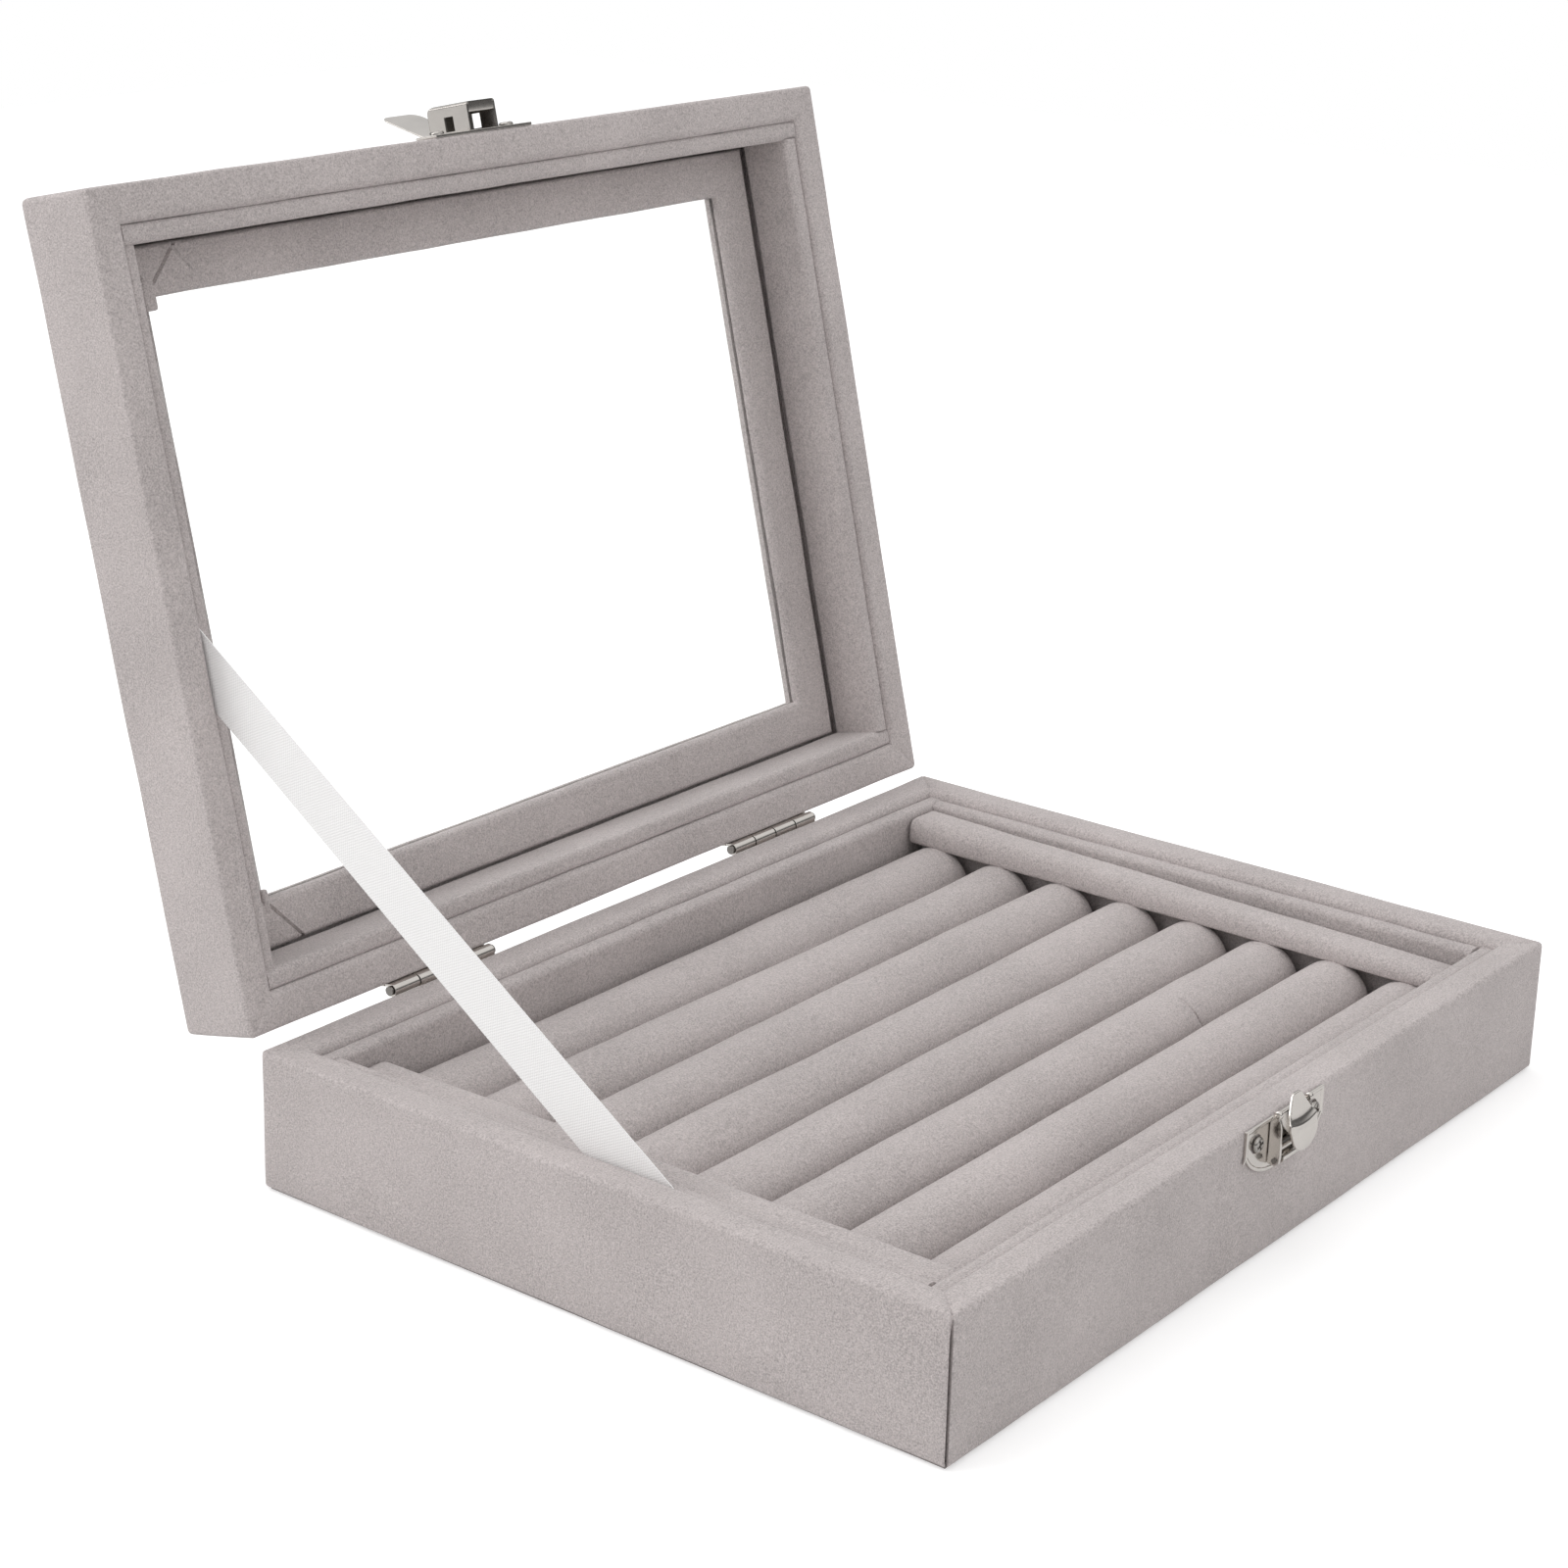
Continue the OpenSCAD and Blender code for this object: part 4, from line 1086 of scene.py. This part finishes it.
class RINGBOX_OT_hinges(bpy.types.Operator):
    """Two small hinges with curled knuckles"""
    bl_idname = "ringbox.hinges"
    bl_label = "Hinges"

    def execute(self, context):
        radius, sheet, gap = 1.25*MM, 0.5*MM, 0.16*MM
        for side in ("left", "right"):
            for body, up in (("base", -1), ("lid", 1)):
                node = f"{side}_hinge_{body}_leaf"
                low, high = shut_box(node) if body == "lid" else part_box(node)
                step = (high.x - low.x)/4
                edge = low.z if up < 0 else high.z
                near = HINGE_AXIS.z + up*1.45*MM
                leaf = block(f"{node}_sheet", (low.x, low.y + 0.02*MM, min(edge, near)),
                             (high.x, low.y + sheet, max(edge, near)))
                with editing(leaf):
                    weigh(leaf, 1.0,
                          lambda middle, run: abs(run.y) > 0.9*run.length and abs(middle.z - edge) < SAME)
                round_weighted(leaf, 1.2*MM, 4)
                round_all(leaf, 0.1*MM, 2)
                parts = [leaf]
                for k in ((0, 2) if body == "lid" else (1, 3)):
                    # The sheet rises from the leaf and curls round the pin to an open seam
                    outer = [(HINGE_AXIS.y - radius, HINGE_AXIS.z + up*2.2*MM)]
                    inner = [(HINGE_AXIS.y - radius + sheet, HINGE_AXIS.z + up*2.2*MM)]
                    for turn in range(0, 301, 20):
                        t = math.radians(180 - turn)
                        for line, r in ((outer, radius), (inner, radius - sheet)):
                            line.append((HINGE_AXIS.y + r*math.cos(t), HINGE_AXIS.z - up*r*math.sin(t)))
                    start = low.x + k*step + gap
                    knuckle = traced("knuckle", [(start, y, z) for y, z in outer + inner[::-1]],
                                     (step - 2*gap, 0, 0))
                    round_all(knuckle, 0.08*MM, 2, 50)
                    parts.append(knuckle)
                piece = joined(parts, f"{node}_sheet")
                if body == "lid":
                    opened(piece)
                polished(piece)
                finished(piece, body, finish("nickel"), [node])
        return {"FINISHED"}


class RINGBOX_OT_screws(bpy.types.Operator):
    """Small domed screws with a cross recess"""
    bl_idname = "ringbox.screws"
    bl_label = "Screws"

    def execute(self, context):
        screw = rod("screw", (0, 0, -0.15*MM), (0, 0, 0.7*MM), 1.45*MM, 32)
        with editing(screw):
            pick(screw, "EDGE", lambda middle, run: middle.z > 0.6*MM and abs(run.z) < SAME)
            bpy.ops.mesh.bevel(offset=0.55*MM, segments=4, affect="EDGES")
            pick(screw, "FACE", lambda middle, facing: facing.z < -0.9)
            bpy.ops.mesh.inset(thickness=0.75*MM, depth=0)
            bpy.ops.mesh.extrude_region_move(TRANSFORM_OT_translate={"value": (0, 0, -2.6*MM)})
        for half_x, half_y in ((1.0*MM, 0.3*MM), (0.3*MM, 1.0*MM)):
            cut_away(screw, block("slot", (-half_x, -half_y, 0.05*MM), (half_x, half_y, MM)))
        round_all(screw, 0.05*MM, 1, 50)
        turns = (18, 63, 40, 77)
        for node, body, front in (("catch_screws", "base", True), ("keeper_screws", "lid", True),
                                  ("base_hinge_screws", "base", False), ("lid_hinge_screws", "lid", False)):
            low, high = shut_box(node) if body == "lid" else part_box(node)
            first, last = low.x + SCREW_HEAD, high.x - SCREW_HEAD
            across = [first, last] if front else [first, first + 16*MM, last - 16*MM, last]
            # The head's top stands 0.7 mm out of the plane it is screwed to
            y, tilt = (low.y + 0.7*MM, math.pi/2) if front else (high.y - 0.7*MM, -math.pi/2)
            copies = []
            for x, turn in zip(across, turns):
                twin = copy_of(screw, "twin")
                twin.matrix_world = (Matrix.Translation((x, y, (low.z + high.z)/2))
                                     @ Matrix.Rotation(tilt, 4, "X")
                                     @ Matrix.Rotation(math.radians(turn), 4, "Z"))
                copies.append(settle(twin, "twin"))
            piece = joined(copies, f"domed_{node}")
            if body == "lid":
                opened(piece)
            polished(piece)
            finished(piece, body, finish("screw"), [node])
        bpy.data.objects.remove(screw, do_unlink=True)
        return {"FINISHED"}


class RINGBOX_OT_glass_and_boards(bpy.types.Operator):
    """Glass, hidden boards and pins"""
    bl_idname = "ringbox.glass_and_boards"
    bl_label = "Glass and boards"

    def execute(self, context):
        looks = {"glass_pane": "glass", "bottom_cover": "card", "tray_card": "card", "base_floor": "card",
                 "catch_pin": "steel", "left_hinge_pin": "steel", "right_hinge_pin": "steel"}
        for node, kind in looks.items():
            NODES[node].data.materials.clear()
            NODES[node].data.materials.append(finish(kind))
        return {"FINISHED"}


# Camera, calibrated on the photographed edges: azimuth, elevation and roll in degrees, lens in millimetres
CAMERA_PLACE = (-0.46578, -0.32234, 0.26424)
CAMERA_ANGLES = (-52.38, 19.18, 1.39)
CAMERA_LENS = 75.575
# Softboxes: name, place, aim, size and power
SOFTBOXES = (
    ("softbox_top", (-0.1, 0.4, 1.25), (0, 0, 0), 1.1, 3.7),
    ("softbox_left", (-0.9, 0.9, 0.8), (0, 0, 0.03), 0.9, 5.6),
    ("softbox_front", (-0.1, -1.25, 0.75), (0, 0, 0.03), 0.9, 1.3),
)
WHITE = (1, 1, 1, 1)


class RINGBOX_OT_stage(bpy.types.Operator):
    """Camera, floor and soft light"""
    bl_idname = "ringbox.stage"
    bl_label = "Stage"

    def execute(self, context):
        scene = context.scene
        scene.view_settings.view_transform = "Standard"
        azimuth, elevation, roll = (math.radians(angle) for angle in CAMERA_ANGLES)
        back = Vector((math.sin(azimuth)*math.cos(elevation), -math.cos(azimuth)*math.cos(elevation),
                       math.sin(elevation)))
        right = (-back).cross(Vector((0, 0, 1))).normalized()
        up = right.cross(-back)
        turned_right = math.cos(roll)*right + math.sin(roll)*up
        turned_up = -math.sin(roll)*right + math.cos(roll)*up
        turn = Matrix((turned_right, turned_up, back)).transposed()
        bpy.ops.object.camera_add(location=CAMERA_PLACE, rotation=turn.to_euler())
        camera = context.object
        camera.name = "camera"
        camera.data.lens = CAMERA_LENS
        camera.data.sensor_width = 36
        camera.data.sensor_fit = "HORIZONTAL"
        camera.data.clip_start = 0.01
        scene.camera = camera

        # White floor that glows a little where it is seen, through the glass too, and less in polished metal
        bpy.ops.mesh.primitive_plane_add(size=2.4, location=(0, 0, 0))
        floor = context.object
        floor.name = "floor"
        tree = NodeTree(bpy.data.materials.new("floor_white"))
        tree.set(Base_Color=(0.8, 0.8, 0.8, 1), Roughness=1.0, Specular_IOR_Level=0.0)
        plain = tree.shader.outputs[0]
        seen = tree.math("MAXIMUM", tree.ray("Camera"), tree.ray("Transmission"))
        seen = tree.math("MAXIMUM", seen, tree.math("MULTIPLY", tree.ray("Glossy"), 0.2))
        glowing = tree.add("AddShader", plain, tree.add("Emission", Strength=0.42))
        tree.show(tree.add("MixShader", seen, plain, glowing))
        floor.data.materials.append(tree.owner)

        # The room lights evenly, is white where it is seen, and is pale with a dark band in polished metal
        scene.world = bpy.data.worlds.new("studio")
        tree = NodeTree(scene.world)
        height = tree.split(tree.place("Generated"))["Z"]
        band = tree.ramp(height, [(at, (grey, grey, grey)) for at, grey in (
            (0.0, 0.95), (0.03, 0.10), (0.24, 0.14), (0.45, 0.9))])
        even = tree.add("Background", Color=WHITE, Strength=0.77)
        lit = tree.add("MixShader", tree.ray("Glossy"), even, tree.add("Background", Color=band))
        seen = tree.math("MAXIMUM", tree.ray("Camera"), tree.ray("Transmission"))
        tree.show(tree.add("MixShader", seen, lit, tree.add("Background", Color=WHITE)))

        for name, place, aim, size, power in SOFTBOXES:
            direction = Vector(aim) - Vector(place)
            bpy.ops.object.light_add(type="AREA", location=place,
                                     rotation=direction.to_track_quat("-Z", "Y").to_euler())
            lamp = context.object
            lamp.name = name
            lamp.data.size = size
            lamp.data.energy = power
        return {"FINISHED"}


class RINGBOX_PT_panel(bpy.types.Panel):
    """Lists the pieces of the ring display box"""
    bl_label = "Ring Box"
    bl_space_type = "VIEW_3D"
    bl_region_type = "UI"
    bl_category = "Ring Box"

    def draw(self, context):
        for group in (context.scene.ring_box_sizes, context.scene.ring_box_finish):
            for key in group.__annotations__:
                self.layout.prop(group, key)
        for operator in PIECES:
            self.layout.operator(operator.bl_idname)


PIECES = (
    RINGBOX_OT_stage,
    RINGBOX_OT_base_walls,
    RINGBOX_OT_base_lining,
    RINGBOX_OT_ring_rolls,
    RINGBOX_OT_end_bars,
    RINGBOX_OT_lid_walls,
    RINGBOX_OT_lid_lining,
    RINGBOX_OT_window_frame,
    RINGBOX_OT_catch,
    RINGBOX_OT_keeper,
    RINGBOX_OT_hinges,
    RINGBOX_OT_screws,
    RINGBOX_OT_glass_and_boards,
    RINGBOX_OT_ribbon,
)
CLASSES = (RingBoxSizes, RingBoxFinish, *PIECES, RINGBOX_PT_panel)


def register():
    for cls in CLASSES:
        bpy.utils.register_class(cls)
    bpy.types.Scene.ring_box_sizes = PointerProperty(type=RingBoxSizes)
    bpy.types.Scene.ring_box_finish = PointerProperty(type=RingBoxFinish)


def unregister():
    del bpy.types.Scene.ring_box_finish
    del bpy.types.Scene.ring_box_sizes
    for cls in reversed(CLASSES):
        bpy.utils.unregister_class(cls)


def main():
    """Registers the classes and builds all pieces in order."""
    register()
    for operator in PIECES:
        group, name = operator.bl_idname.split(".")
        getattr(getattr(bpy.ops, group), name)()


if __name__ == "__main__":
    main()
